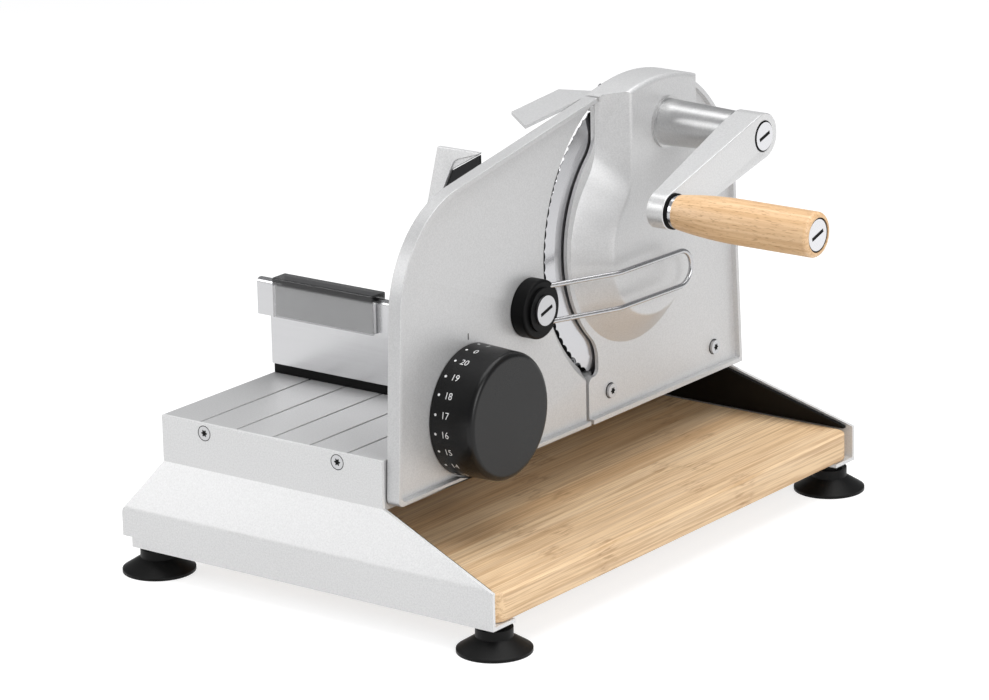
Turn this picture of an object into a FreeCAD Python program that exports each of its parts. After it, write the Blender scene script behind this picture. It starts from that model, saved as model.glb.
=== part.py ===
import FreeCAD, Part
import math
import os
import re

import Sketcher

# Hand-cranked food slicer, in millimetres.
# X points to the side where the slices fall, Y along the carriage's travel and Z up.
# X is written below from the middle of the four feet, and every object is moved by
# origin_x so that the origin lies on the floor under the middle of the whole object.

doc = FreeCAD.newDocument("food_slicer")

# Driving dimensions, in groups
DRIVING = {
    # Suction feet
    "foot_x": 113.4,
    "foot_inset": 12.6,
    "cup_radius": 20,
    "cup_lip": 1.6,
    "cup_height": 8,
    "cup_hollow": 2.2,
    "collar_radius": 10,
    "collar_top": 13,
    "neck_radius": 7.5,
    "foot_screw_radius": 2.5,
    "foot_screw_head": 5,
    "screw_tip_gap": 0.5,
    "foot_screw_length": 11,
    # Foot brackets, bent sheet
    "sheet": 2,
    "flange_under": 15.1,
    "flange_width": 19,
    "bend_height": 35.4,
    "slope_top": 63.2,
    "bracket_spread": 13.9,
    "bracket_end_left": 14,
    "bracket_end_right": 8.9,
    "bracket_notch_width": 6.4,
    "bracket_notch_height": 5.5,
    "bracket_bend": 10,
    "lining": 2.5,
    "lining_inset": 4.5,
    "lining_gap": 0.6,
    "lining_play": 0.3,
    # Serving board
    "board_length": 226,
    "board_inset": 0.3,
    "board_thickness": 16,
    "board_lift": 0.3,
    "board_side_play": 2.3,
    "board_corner": 8,
    "board_edge": 1.5,
    # Base deck, a grooved hollow section
    "deck_left": -106.5,
    "deck_right": 43.1,
    "deck_reach": 157.1,
    "deck_under": 62,
    "deck_top": 89.1,
    "deck_skin": 3.4,
    "deck_left_wall": 4,
    "deck_right_wall": 7,
    "deck_end_wall": 9,
    "deck_rib": 3,
    "deck_cells": 5,
    "first_groove": -81,
    "groove_pitch": 25,
    "groove_count": 5,
    "groove_width": 1.4,
    "groove_depth": 0.9,
    # Countersunk screws through the brackets and the housing
    "screw_radius": 2,
    "screw_head_radius": 4,
    "screw_head_height": 1.8,
    "screw_length": 9,
    "screw_drop": 5.4,
    "bracket_screw_inset": 29.5,
    "drive_radius": 1.5,
    "drive_depth": 1,
    "screw_play": 0.1,
    # Wall: stop plate and housing lie in one plane
    "food_face": 44,
    "web_front": 48.8,
    "rim_front": 52,
    "rim_width": 2.5,
    "wall_bottom": 64.4,
    "wall_lean": 3,
    "plate_inset": 0.3,
    "plate_rise": 51.3,
    "plate_corner_radius": 62,
    "plate_top_slope": 10.5,
    "plate_right_low": 14.5,
    "plate_right_high": 24,
    "plate_foot_radius": 4,
    "plate_arc_flare": 5.4,
    # Blade
    "blade_y": 68.5,
    "blade_sink": 11.1,
    "blade_radius": 85,
    "blade_thickness": 1.6,
    "blade_bevel": 8,
    "blade_edge": 0.35,
    "blade_gap": 1,
    "scallop_count": 90,
    "scallop_depth": 1.1,
    # Housing
    "housing_left_low": 17,
    "housing_left_high": 26,
    "housing_step": 90,
    "housing_overhang": 5.4,
    "housing_margin": 5.5,
    "housing_ring": 2.5,
    "blade_clearance": 1,
    "web_thickness": 2.2,
    "flank_fillet": 20,
    "cast_wall": 2.3,
    "spigot_boss": 12,
    "spigot_gap": 0.5,
    "crest_right": 107,
    "crown_y": 62.8,
    "crown_room": 1.8,
    "crown_over": 1.1,
    "crown_radius": 113.5,
    "housing_screw_left_inset": 20,
    "housing_screw_right_inset": 19.1,
    "housing_screw_z": 78.4,
    "housing_boss": 6.5,
    "housing_back": 44.2,
    # Gear cover: a pear shape that narrows from its foot to its flat front
    "cover_front": 66,
    "cover_room": 15.5,
    "cover_draw": 19.5,
    "cover_flange": 11,
    "cover_foot_side": 7.5,
    "cover_foot_drop": 2,
    "cover_foot_inset": 0.2,
    "cover_front_side": 11,
    "cover_front_drop": 3,
    "cover_front_inset": 10,
    "cover_fillet": 30,
    "cover_skin": 1,
    "cover_edge": 3,
    # Guard shelf over the blade on the food side
    "shelf_inner": 22,
    "shelf_front": -30,
    "shelf_cut": 17,
    "shelf_back": 30,
    "shelf_lead": 5.7,
    "shelf_tab_end": 54,
    "shelf_sheet": 1.8,
    "shelf_edge": 43.6,
    "shelf_tab_right": 45,
    "shelf_screw_left_y": 31,
    "shelf_screw_left_drop": 2,
    "shelf_screw_right_y": 40,
    "shelf_screw_right_rise": 1,
    "shelf_drop": 6.4,
    "shelf_tab_drop": 4,
    "shelf_slope": 5,
    "shelf_screw_radius": 1.5,
    "shelf_screw_head": 2.6,
    "shelf_screw_head_height": 0.9,
    "shelf_screw_length": 6,
    # Gears
    "crank_inset": 22,
    "crank_teeth": 28,
    "blade_teeth": 56,
    "gear_face": 4.3,
    "gear_play": 0.4,
    "gear_clearance": 1.2,
    "pressure_angle": 20,
    "tooth_share": 0.46,
    "blade_flange_radius": 32,
    "blade_axle_radius": 4,
    "blade_bush_radius": 6,
    "blade_boss_radius": 9,
    "blade_bush_length": 9,
    "boss_gap": 0.5,
    "bore_play": 0.04,
    "gear_screw_circle": 22,
    "gear_screw_count": 3,
    "lock_radius": 9,
    "lock_height": 2,
    "lock_shank": 2.5,
    "lock_length": 6,
    "coin_slot": 2,
    "slot_share": 0.65,
    "slot_turn": 17,
    # Crank
    "crank_radius": 5,
    "bush_radius": 7,
    "bush_length": 12,
    "tube_end": 111,
    "tube_root_radius": 12.9,
    "tube_tip_radius": 11.3,
    "tube_flange_radius": 14.2,
    "tube_flange": 1.8,
    "tube_spigot_radius": 9,
    "gear_hub_radius": 10,
    "gear_hub_end": 57.2,
    "gear_pin_radius": 1.2,
    "crank_washer": 1.2,
    "crank_washer_play": 0.15,
    "arm_thickness": 17,
    "arm_tip_thickness": 10.3,
    "arm_length": 88.8,
    "arm_shaft_end_radius": 12.5,
    "arm_grip_end_radius": 10,
    "arm_angle": 194.6,
    "cap_radius": 8.4,
    "cap_height": 1,
    "cap_ring": 0.7,
    # Grip
    "grip_washer_radius": 9.6,
    "grip_washer": 1.6,
    "grip_play": 0.3,
    "grip_ferrule": 2.3,
    "grip_ferrule_radius": 8.8,
    "grip_length": 85.9,
    "grip_swell": 38.7,
    "grip_small_radius": 9.15,
    "grip_large_radius": 12,
    "grip_nose": 2.5,
    "grip_recess_radius": 9.2,
    "grip_sink": 0.5,
    "grip_bolt_radius": 4,
    "sleeve_radius": 6.2,
    "bolt_head_radius": 8.3,
    "bolt_head_height": 2.6,
    "bolt_end_sink": 0.5,
    # Stop plate guides
    "guide_z": 75,
    "guide_radius": 4,
    "guide_bush_radius": 6,
    "guide_inner": -22,
    "guide_collar_radius": 7,
    "guide_collar": 3,
    "guide_socket": 3,
    # Thickness dial
    "dial_y": -90.4,
    "dial_z": 100.9,
    "dial_back": 49.3,
    "dial_front": 75.8,
    "dial_back_radius": 35.4,
    "dial_front_radius": 34.3,
    "dial_wall": 2.5,
    "dial_edge": 3.2,
    "dial_gap": 1,
    "dial_steps": 21,
    "dial_step_height": 1,
    "dial_hub_radius": 9,
    "dial_axle_radius": 5,
    "axle_skin": 1,
    "cam_radius": 22,
    "cam_width": 7,
    "cam_break": 13,
    "follower_radius": 2,
    "follower_gap": 0.45,
    "cam_base": 1.5,
    "follower_hole": 3,
    # Slice deflector
    "hub_y": -37.2,
    "hub_drop": 19.3,
    "hub_radius": 16.2,
    "hub_back": 49.1,
    "hub_front": 57.8,
    "hub_ring_radius": 12,
    "hub_ring_front": 59.4,
    "hub_bolt_radius": 3,
    "hub_cap_radius": 8.2,
    "hub_cap_front": 61,
    "hub_gap": 0.3,
    "hub_edge": 1.5,
    "wire_radius": 1.4,
    "wire_sink": 2.7,
    "wire_near": 50.2,
    "wire_stand_near": 7.3,
    "wire_reach": 103.6,
    "wire_stand_far": 9.8,
    "wire_lift": 1.1,
    "wire_half_gap": 9.9,
    "wire_root": 5.2,
    "wire_bend_radius": 12,
    # Carriage
    "pusher_y": -65,
    "tray_left": -107,
    "tray_right": 38,
    "tray_back": 40,
    "tray_floor": 94.5,
    "tray_sheet": 1.5,
    "band_left": -113.5,
    "band_low": 122.5,
    "band_top": 143,
    "band_depth": 6,
    "band_radius": 2.5,
    "glide_gap": 0.3,
    "glide_width": 12,
    "glide_inset": 1.5,
    "glide_rib_play": 0.3,
    "guard_left": -99,
    "guard_right": -30,
    "guard_reach": 4.2,
    "guard_rise": 3,
    "guard_low": 123.8,
    "guard_sheet": 1.4,
    "guard_play": 0.2,
    "guard_edge": 1,
    # Remnant holder
    "holder_front": -56,
    "holder_back": 27,
    "holder_top": 230,
    "holder_body_drop": 27,
    "holder_top_left": 4.5,
    "holder_top_right": 32,
    "holder_tip": 0.8,
    "holder_lean": 13,
    "holder_wall": 8,
    "holder_cheek": 3,
    "holder_groove": 1.2,
    "holder_hook_x": 15.6,
    "holder_hook_drop": 6,
    "holder_hook_radius": 6,
    "holder_chord_x": 13,
    "holder_chord_drop": 11.7,
    "holder_shoulder_drop": 36,
    "holder_side": -4.2,
    "holder_play": 0.3,
    "pad_face": 31.5,
    "pad_gap": 0.4,
    "pad_wall": 3,
    "spike_rows": 4,
    "spike_columns": 3,
    "spike_pitch": 20,
    "spike_inset": 12,
    "spike_height": 2,
    "spike_radius": 1.6,
    "spike_tip": 0.4,
}

# Places and sizes that follow from the driving ones
DERIVED = {
    "arm_inner": "tube_end + crank_washer + 2 * crank_washer_play",
    "arm_outer": "arm_inner + arm_thickness",
    "ferrule_start": "arm_outer + grip_washer + grip_play",
    "wood_start": "ferrule_start + grip_ferrule",
    "right_end": "wood_start + grip_length",
    "bolt_face": "right_end - grip_sink",
    "grip_recess_floor": "bolt_face - bolt_head_height - grip_play",
    "origin_x": "(right_end - foot_x - cup_radius) / 2",
    "bracket_reach": "deck_reach + bracket_spread",
    "bracket_left": "-foot_x - bracket_end_left",
    "bracket_right": "foot_x + bracket_end_right",
    "bracket_slope": "atan((bracket_reach - deck_reach - sheet) / (slope_top - bend_height))",
    "bracket_bend_outer": "bracket_bend + sheet",
    "sheet_bend": "sheet * tan(bracket_slope / 2)",
    "lining_bend": "(sheet + lining) * tan(bracket_slope / 2)",
    "foot_y": "bracket_reach - foot_inset",
    "foot_screw_head_height": "sheet - screw_play",
    "bracket_screw_left": "deck_left + bracket_screw_inset",
    "bracket_screw_right": "deck_right - bracket_screw_inset",
    "screw_z": "deck_top - screw_drop",
    "board_under": "flange_under + sheet + board_lift",
    "board_top": "board_under + board_thickness",
    "board_reach": "bracket_reach - sheet - board_side_play",
    "board_right": "bracket_right - board_inset",
    "board_left": "board_right - board_length",
    "cell_pitch": "(2 * (deck_reach - deck_end_wall) + deck_rib) / deck_cells",
    "guide_front": "deck_end_wall - deck_reach + (cell_pitch - deck_rib) / 2",
    "guide_rear": "guide_front + floor(deck_cells / 2) * cell_pitch",
    "blade_z": "deck_top + blade_radius - blade_sink",
    "blade_back": "food_face + blade_thickness",
    "web_back": "web_front - web_thickness",
    "boss_start": "web_front - screw_tip_gap",
    "bush_floor": "boss_start + blade_bush_length",
    "spigot_start": "gear_hub_end + spigot_gap",
    "blade_cut": "blade_radius + blade_clearance",
    "housing_radius": "blade_radius + blade_clearance + housing_ring",
    "housing_right": "max(deck_reach + housing_overhang; blade_y + housing_radius + housing_margin)",
    "step_rounding": "0.45 * (housing_left_high - housing_left_low)",
    "housing_screw_left": "housing_left_low + housing_screw_left_inset",
    "housing_screw_right": "deck_reach - housing_screw_right_inset",
    "gear_back": "blade_back + gear_play",
    "gear_centres": "blade_radius - crank_inset",
    "gear_module": "2 * gear_centres / (crank_teeth + blade_teeth)",
    "crank_z": "blade_z + gear_centres",
    "crank_gear_outer": "gear_module * (crank_teeth / 2 + 1)",
    "blade_gear_outer": "gear_module * (blade_teeth / 2 + 1)",
    "crown_over_gear": "crank_z + crank_gear_outer + cast_wall + crown_room",
    "crown_top": "max(crown_over_gear; blade_z + housing_radius + crown_over)",
    "crown_z": "crown_top - crown_radius",
    "cover_inner": "cover_front - cast_wall",
    "cover_foot_radius": "blade_gear_outer + cover_room",
    "cover_foot_y": "blade_y - cover_foot_side",
    "cover_foot_z": "blade_z - cover_foot_drop",
    "cover_foot_left": "housing_left_high + cover_foot_inset",
    "cover_front_radius": "cover_foot_radius - cover_draw",
    "cover_front_y": "blade_y - cover_front_side",
    "cover_front_z": "blade_z - cover_front_drop",
    "cover_front_left": "housing_left_high + cover_front_inset",
    "flank_radius": "cover_foot_radius + cover_flange",
    "shelf_height": "crown_top - shelf_drop",
    "shelf_screw_left_z": "shelf_height - shelf_screw_left_drop",
    "shelf_screw_right_z": "shelf_height + shelf_screw_right_rise",
    "grip_y": "blade_y + arm_length * cos(arm_angle)",
    "grip_z": "crank_z + arm_length * sin(arm_angle)",
    "hub_z": "blade_z - hub_drop",
    "plate_left": "plate_inset - deck_reach",
    "plate_corner_height": "blade_z + plate_rise",
    "plate_corner_y": "plate_left + (plate_corner_height - wall_bottom) * tan(wall_lean)",
    "plate_top_right": "plate_corner_height + (plate_right_high - plate_corner_y) * tan(plate_top_slope)",
    "plate_cut": "blade_radius + blade_gap",
    "cam_seat": "dial_front - dial_wall",
    "follower_z": "dial_z - cam_radius",
    "follower_tip": "cam_seat - cam_base - follower_gap",
    "wire_root_x": "hub_front - wire_sink",
    "wire_bend_x": "cover_front + wire_stand_near",
    "wire_end_x": "cover_front + wire_stand_far",
    "holder_shoulder": "holder_top - holder_shoulder_drop",
    "holder_body_top": "holder_top - holder_body_drop",
    "holder_hook_z": "holder_top - holder_hook_drop",
    "holder_chord_z": "holder_top - holder_chord_drop",
    "pad_top": "holder_body_top - holder_play",
}

sizes = doc.addObject("Spreadsheet::Sheet", "Sizes")
for row, (alias, value) in enumerate(DRIVING.items(), 1):
    sizes.set("A%d" % row, alias)
    sizes.set("B%d" % row, str(value))
    sizes.setAlias("B%d" % row, alias)
for row, (alias, formula) in enumerate(DERIVED.items(), 1):
    sizes.set("C%d" % row, alias)
    sizes.set("D%d" % row, "=" + formula)
    sizes.setAlias("D%d" % row, alias)
doc.recompute()

NODES = []

# Cutting tools start before a face and run on past the one beyond it
BEFORE = " - 1"
BEYOND = " + 1"


def cells(text):
    """Turn size names into references to the spreadsheet's cells."""
    def named(match):
        word = match.group(0)
        return "Sizes." + word if word in DRIVING or word in DERIVED else word
    return re.sub(r"[a-z_][a-z_0-9]*", named, str(text))


def size(alias):
    """The present value of a size, for the forms that are worked out here."""
    value = sizes.get(alias)
    return float(getattr(value, "Value", value))


def bind(item, **targets):
    """Bind properties to expressions; a double underscore stands for a dot."""
    for target, text in targets.items():
        item.setExpression(target.replace("__", "."), cells(text))


def shifted(text):
    return "%s - origin_x" % text


def put(item, x, y, z):
    bind(item, Placement__Base__x=x, Placement__Base__y=y, Placement__Base__z=z)


# Turns that send the local Z axis along X, Y or Z
ALONG = {
    "x": FreeCAD.Rotation(FreeCAD.Vector(0, 1, 0), 90),
    "y": FreeCAD.Rotation(FreeCAD.Vector(1, 0, 0), -90),
    "z": FreeCAD.Rotation(),
}


def stand(item, axis, centre, start):
    """Place an item whose own axis is Z along an axis of the frame."""
    item.Placement = FreeCAD.Placement(FreeCAD.Vector(), ALONG[axis])
    first, second = centre
    if axis == "x":
        put(item, shifted(start), first, second)
    elif axis == "y":
        put(item, shifted(first), start, second)
    else:
        put(item, shifted(first), second, start)


def box(name, x, y, z):
    item = doc.addObject("Part::Box", name)
    bind(item, Length="%s - (%s)" % (x[1], x[0]), Width="%s - (%s)" % (y[1], y[0]))
    bind(item, Height="%s - (%s)" % (z[1], z[0]))
    put(item, shifted(x[0]), y[0], z[0])
    return item


def rod(name, axis, centre, start, end, radius):
    item = doc.addObject("Part::Cylinder", name)
    bind(item, Radius=radius, Height="%s - (%s)" % (end, start))
    stand(item, axis, centre, start)
    return item


def cone(name, axis, centre, start, end, radius_start, radius_end):
    item = doc.addObject("Part::Cone", name)
    bind(item, Radius1=radius_start, Radius2=radius_end, Height="%s - (%s)" % (end, start))
    stand(item, axis, centre, start)
    return item


# The circle on which a sketch's corners start before they are drawn to their places
START_CIRCLE = 100


def draw(sketch, outlines):
    """Closed polygons whose corners are bound to expressions."""
    for outline in outlines:
        first = sketch.GeometryCount
        count = len(outline)
        corners = []
        for index in range(count):
            turn = 2 * math.pi * index / count
            start = FreeCAD.Vector(math.cos(turn), math.sin(turn), 0)
            corners.append(start * START_CIRCLE)
        for index in range(count):
            line = Part.LineSegment(corners[index], corners[(index + 1) % count])
            sketch.addGeometry(line, False)
        for index in range(count):
            following = first + (index + 1) % count
            sketch.addConstraint(Sketcher.Constraint("Coincident", first + index, 2, following, 1))
        for index, (across, up) in enumerate(outline):
            start = corners[index]
            for kind, value, text in (("DistanceX", start.x, across), ("DistanceY", start.y, up)):
                rule = Sketcher.Constraint(kind, -1, 1, first + index, 1, value)
                place = sketch.addConstraint(rule)
                sketch.setExpression("Constraints[%d]" % place, cells(text))


def new_body(name):
    return doc.addObject("PartDesign::Body", name)


def new_sketch(body, name, plane, outlines, offset="0"):
    sketch = body.newObject("Sketcher::SketchObject", name)
    origin_plane = [f for f in body.Origin.OriginFeatures if f.Role == plane + "_Plane"][0]
    sketch.AttachmentSupport = (origin_plane, [""])
    sketch.MapMode = "FlatFace"
    bind(sketch, AttachmentOffset__Base__z=offset)
    draw(sketch, outlines)
    return sketch


PLANES = {"x": "YZ", "y": "XZ", "z": "XY"}


def prism(name, axis, outline, start, end):
    """A padded outline; the outline's coordinates are the two other axes in order."""
    body = new_body(name)
    # The XZ plane's normal points along -Y, so a pad along Y starts at its far end
    backwards = axis == "y"
    offset = "-(%s)" % end if backwards else start
    if axis == "x":
        offset = shifted(start)
    corners = [(shifted(a) if axis != "x" else a, b) for a, b in outline]
    sketch = new_sketch(body, name + "_outline", PLANES[axis], [corners], offset)
    pad = body.newObject("PartDesign::Pad", name + "_pad")
    pad.Profile = sketch
    bind(pad, Length="%s - (%s)" % (end, start))
    body.Tip = pad
    return body


def turned(name, axis, centre, outline):
    """A revolved outline of points (along the axis, radius)."""
    body = new_body(name)
    plane = "XZ" if axis == "z" else "XY"
    corners = outline if axis == "x" else [(radius, along) for along, radius in outline]
    sketch = new_sketch(body, name + "_outline", plane, [corners])
    turn = body.newObject("PartDesign::Revolution", name + "_turn")
    turn.Profile = sketch
    turn.ReferenceAxis = (sketch, ["H_Axis" if axis == "x" else "V_Axis"])
    turn.Angle = 360
    body.Tip = turn
    if axis == "x":
        put(body, "0 - origin_x", centre[0], centre[1])
    elif axis == "y":
        put(body, shifted(centre[0]), "0", centre[1])
    else:
        put(body, shifted(centre[0]), centre[1], "0")
    return body


def pocket(body, name, sketch, depth, reverse=False):
    item = body.newObject("PartDesign::Pocket", name)
    item.Profile = sketch
    bind(item, Length=depth)
    item.Reversed = reverse
    body.Tip = item
    return item


def fuse(name, *pieces):
    item = doc.addObject("Part::MultiFuse", name)
    item.Shapes = list(pieces)
    item.Refine = True
    return item


def common(name, *pieces):
    item = doc.addObject("Part::MultiCommon", name)
    item.Shapes = list(pieces)
    return item


def cut(name, base, *tools):
    item = base
    for index, tool in enumerate(tools):
        step = doc.addObject("Part::Cut", name if index == len(tools) - 1 else name + "_step")
        step.Base = item
        step.Tool = tool
        item = step
    return item


def group(name, pieces):
    item = doc.addObject("Part::Compound", name)
    item.Links = list(pieces)
    return item


def rounded(name, base, radius, chosen):
    """Fillet the edges that a test on the edge picks."""
    doc.recompute()
    bend = size(radius)
    edges = [(index, bend, bend) for index, edge in enumerate(base.Shape.Edges, 1) if chosen(edge)]
    item = doc.addObject("Part::Fillet", name)
    item.Base = base
    item.Edges = edges
    return item


def runs_along(edge, direction):
    """True for a straight edge that lies along a direction."""
    if edge.Curve.TypeId != "Part::GeomLine":
        return False
    return abs(edge.tangentAt(edge.FirstParameter).dot(FreeCAD.Vector(*direction))) > 0.999


def middle(edge):
    return edge.BoundBox.Center


def shaped(name, shape, x="0", y="0", z="0"):
    """A piece whose form is worked out here, placed after its shape is set."""
    item = doc.addObject("Part::Feature", name)
    item.Shape = shape
    put(item, shifted(x), y, z)
    return item


def node(label, item):
    item.Label = label
    NODES.append((label, item))
    return item


def polar(radius, angle, x=0):
    """A point about the X axis; the angle starts at Y and grows towards Z."""
    return FreeCAD.Vector(x, radius * math.cos(angle), radius * math.sin(angle))


def disc(x, radius):
    """A round face square to X."""
    circle = Part.Circle(FreeCAD.Vector(x, 0, 0), FreeCAD.Vector(1, 0, 0), radius)
    return Part.Face(Part.Wire(circle.toShape()))


def beside(edge, y, z, reach=0.5):
    """True for an edge along X that passes through a place in the YZ plane."""
    spot = middle(edge)
    close = abs(spot.y - y) < reach and abs(spot.z - z) < reach
    return close and runs_along(edge, (1, 0, 0))


def rim_of(x, radius, reach=0.05):
    """A test for the round edge about X at a place along X."""
    def chosen(edge):
        if edge.Curve.TypeId != "Part::GeomCircle":
            return False
        spot = edge.Curve.Center.x + size("origin_x")
        return abs(spot - x) < reach and abs(edge.Curve.Radius - radius) < reach
    return chosen


def along(face, way, distance):
    return "%s + %d * (%s)" % (face, way, distance)


def screw_form(name, axis, centre, face, way, kind, play="0"):
    """A screw, or with play its hole; way is the direction in which it goes in."""
    radius, head, height, length, flat = kind
    start = along(face, -way, play)
    under = along(face, way, height)
    tip = along(face, way, "%s + %s" % (length, play))
    shank = "%s + %s" % (radius, play)
    wide = "%s + 2 * %s" % (head, play)
    outline = [(start, "0"), (start, wide), (under, wide if flat else shank)]
    if flat:
        outline.append((under, shank))
    outline += [(tip, shank), (tip, "0")]
    return turned(name, axis, centre, outline)


SMALL_SCREW = ("screw_radius", "screw_head_radius", "screw_head_height", "screw_length", False)
WALL_SCREW = ("screw_radius", "screw_head_radius", "screw_head_height", "screw_length", True)
FOOT_SCREW = ("foot_screw_radius", "foot_screw_head", "foot_screw_head_height", "foot_screw_length", False)
SHELF_SCREW = ("shelf_screw_radius", "shelf_screw_head", "shelf_screw_head_height",
               "shelf_screw_length", False)


def screw(name, axis, centre, face, way, kind):
    """A screw with a hexagon socket in its head."""
    blank = screw_form(name + "_blank", axis, centre, face, way, kind)
    socket = doc.addObject("Part::Prism", name + "_socket")
    socket.Polygon = 6
    bind(socket, Circumradius="drive_radius", Height="drive_depth")
    stand(socket, axis, centre, face if way > 0 else along(face, way, "drive_depth"))
    return cut(name, blank, socket)


def screw_hole(name, axis, centre, face, way, kind):
    return screw_form(name, axis, centre, face, way, kind, "screw_play")


# Suction feet and their screws
FOOT_PLACES = [
    ("front_left", "-foot_x", "-foot_y"),
    ("front_right", "foot_x", "-foot_y"),
    ("rear_left", "-foot_x", "foot_y"),
    ("rear_right", "foot_x", "foot_y"),
]
foot_screws = []
foot_holes = {"front": [], "rear": []}
for place, x, y in FOOT_PLACES:
    bore = "foot_screw_radius + screw_play"
    bore_floor = "flange_under + sheet - foot_screw_length - screw_tip_gap"
    foot = turned("foot_" + place, "z", (x, y), [
        ("cup_hollow", "0"),
        ("0", "cup_radius - cup_hollow"),
        ("0", "cup_radius"),
        ("cup_lip", "cup_radius"),
        ("cup_height", "collar_radius + screw_play"),
        ("cup_height", "collar_radius"),
        ("collar_top", "collar_radius"),
        ("collar_top", "neck_radius"),
        ("flange_under", "neck_radius"),
        ("flange_under", bore),
        (bore_floor, bore),
        (bore_floor, "0"),
    ])
    node("suction_foot_" + place, foot)
    head = "flange_under + sheet"
    foot_screws.append(screw("foot_screw_" + place, "z", (x, y), head, -1, FOOT_SCREW))
    hole = screw_hole("foot_hole_" + place, "z", (x, y), head, -1, FOOT_SCREW)
    foot_holes[place.split("_")[0]].append(hole)
node("foot_screws", group("foot_screw_group", foot_screws))


def flared(name, inset):
    """The brackets' outline seen from the front: wide at the feet, narrow at the deck."""
    below = "flange_under - sheet"
    above = "deck_top + sheet"
    reach = "bracket_reach + sheet"
    left = "bracket_left + %s" % inset
    right = "bracket_right - %s" % inset
    deck_side_left = "deck_left + %s" % inset
    deck_side_right = "deck_right - %s" % inset
    return prism(name, "y", [
        (left + " + bracket_notch_width", below),
        (right, below),
        (right, "bend_height"),
        (deck_side_right, "slope_top"),
        (deck_side_right, above),
        (deck_side_left, above),
        (deck_side_left, "slope_top"),
        (left, "bend_height"),
        (left, "flange_under + bracket_notch_height"),
        (left + " + bracket_notch_width", "flange_under + bracket_notch_height"),
    ], "-(%s)" % reach, reach)


# Foot brackets: bent sheet from the feet up to the deck's ends, with black linings set in
flare = flared("bracket_flare", "0")
lining_flare = flared("lining_flare", "lining_inset")
bracket_screws = {"front": [], "rear": []}
bracket_holes = {"front": [], "rear": []}
for end, sign in (("front", -1), ("rear", 1)):
    for spot in ("left", "right"):
        centre = ("bracket_screw_" + spot, "screw_z")
        name = "bracket_screw_%s_%s" % (end, spot)
        face = "%d * (deck_reach + sheet)" % sign
        bracket_screws[end].append(screw(name, "y", centre, face, -sign, SMALL_SCREW))
        hole = screw_hole(name + "_hole", "y", centre, face, -sign, SMALL_SCREW)
        bracket_holes[end].append(hole)


def side(sign, text):
    return "%d * (%s)" % (sign, text)


def foot_bracket(end, sign):
    inner_low = "bend_height - sheet_bend"
    profile = prism("bracket_%s_profile" % end, "x", [
        (side(sign, "bracket_reach"), "flange_under"),
        (side(sign, "bracket_reach"), "bend_height"),
        (side(sign, "deck_reach + sheet"), "slope_top"),
        (side(sign, "deck_reach + sheet"), "deck_top"),
        (side(sign, "deck_reach"), "deck_top"),
        (side(sign, "deck_reach"), "slope_top - sheet_bend"),
        (side(sign, "bracket_reach - sheet"), inner_low),
        (side(sign, "bracket_reach - sheet"), "flange_under + sheet"),
        (side(sign, "bracket_reach - flange_width"), "flange_under + sheet"),
        (side(sign, "bracket_reach - flange_width"), "flange_under"),
    ], "bracket_left", "bracket_right")
    outer_spot = (sign * size("bracket_reach"), size("bend_height"))
    inner_spot = (sign * (size("bracket_reach") - size("sheet")),
                  size("bend_height") - size("sheet_bend"))
    outside = rounded("bracket_%s_outside" % end, profile, "bracket_bend_outer",
                      lambda e: beside(e, *outer_spot))
    bent = rounded("bracket_%s_bent" % end, outside, "bracket_bend",
                   lambda e: beside(e, *inner_spot))
    flaring = common("bracket_%s_flaring" % end, bent, flare)
    holes = foot_holes[end] + bracket_holes[end]
    return cut("bracket_%s_holed" % end, flaring, *holes)


def bracket_lining(end, sign):
    low = "board_top + lining_gap"
    high = "deck_under - lining_gap"
    inner = "bracket_reach - sheet - lining_play"
    lean = "(%s - bend_height + sheet_bend) * tan(bracket_slope)" % high
    through = "lining / cos(bracket_slope)"
    profile = prism("lining_%s_profile" % end, "x", [
        (side(sign, inner), low),
        (side(sign, inner), "bend_height - sheet_bend"),
        (side(sign, "%s - %s" % (inner, lean)), high),
        (side(sign, "%s - %s - %s" % (inner, lean, through)), high),
        (side(sign, "%s - lining" % inner), "bend_height - lining_bend"),
        (side(sign, "%s - lining" % inner), low),
    ], "bracket_left", "bracket_right")
    return common("lining_" + end, profile, lining_flare)


for end, sign in (("front", -1), ("rear", 1)):
    node("foot_bracket_" + end, foot_bracket(end, sign))
    node("bracket_lining_" + end, bracket_lining(end, sign))
    node("bracket_screws_" + end, group("bracket_screw_group_" + end, bracket_screws[end]))


# Serving board, which slides out from under the deck
def serving_board():
    slab = prism("board_slab", "z", [
        ("board_left", "-board_reach"),
        ("board_right", "-board_reach"),
        ("board_right", "board_reach"),
        ("board_left", "board_reach"),
    ], "board_under", "board_top")
    cornered = rounded("board_corners", slab, "board_corner", lambda e: runs_along(e, (0, 0, 1)))
    levels = (size("board_top"), size("board_under"))
    level = lambda e: e.BoundBox.ZLength < 0.01 and any(abs(middle(e).z - z) < 0.01 for z in levels)
    return rounded("board_edges", cornered, "board_edge", level)


node("serving_board", serving_board())


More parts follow.
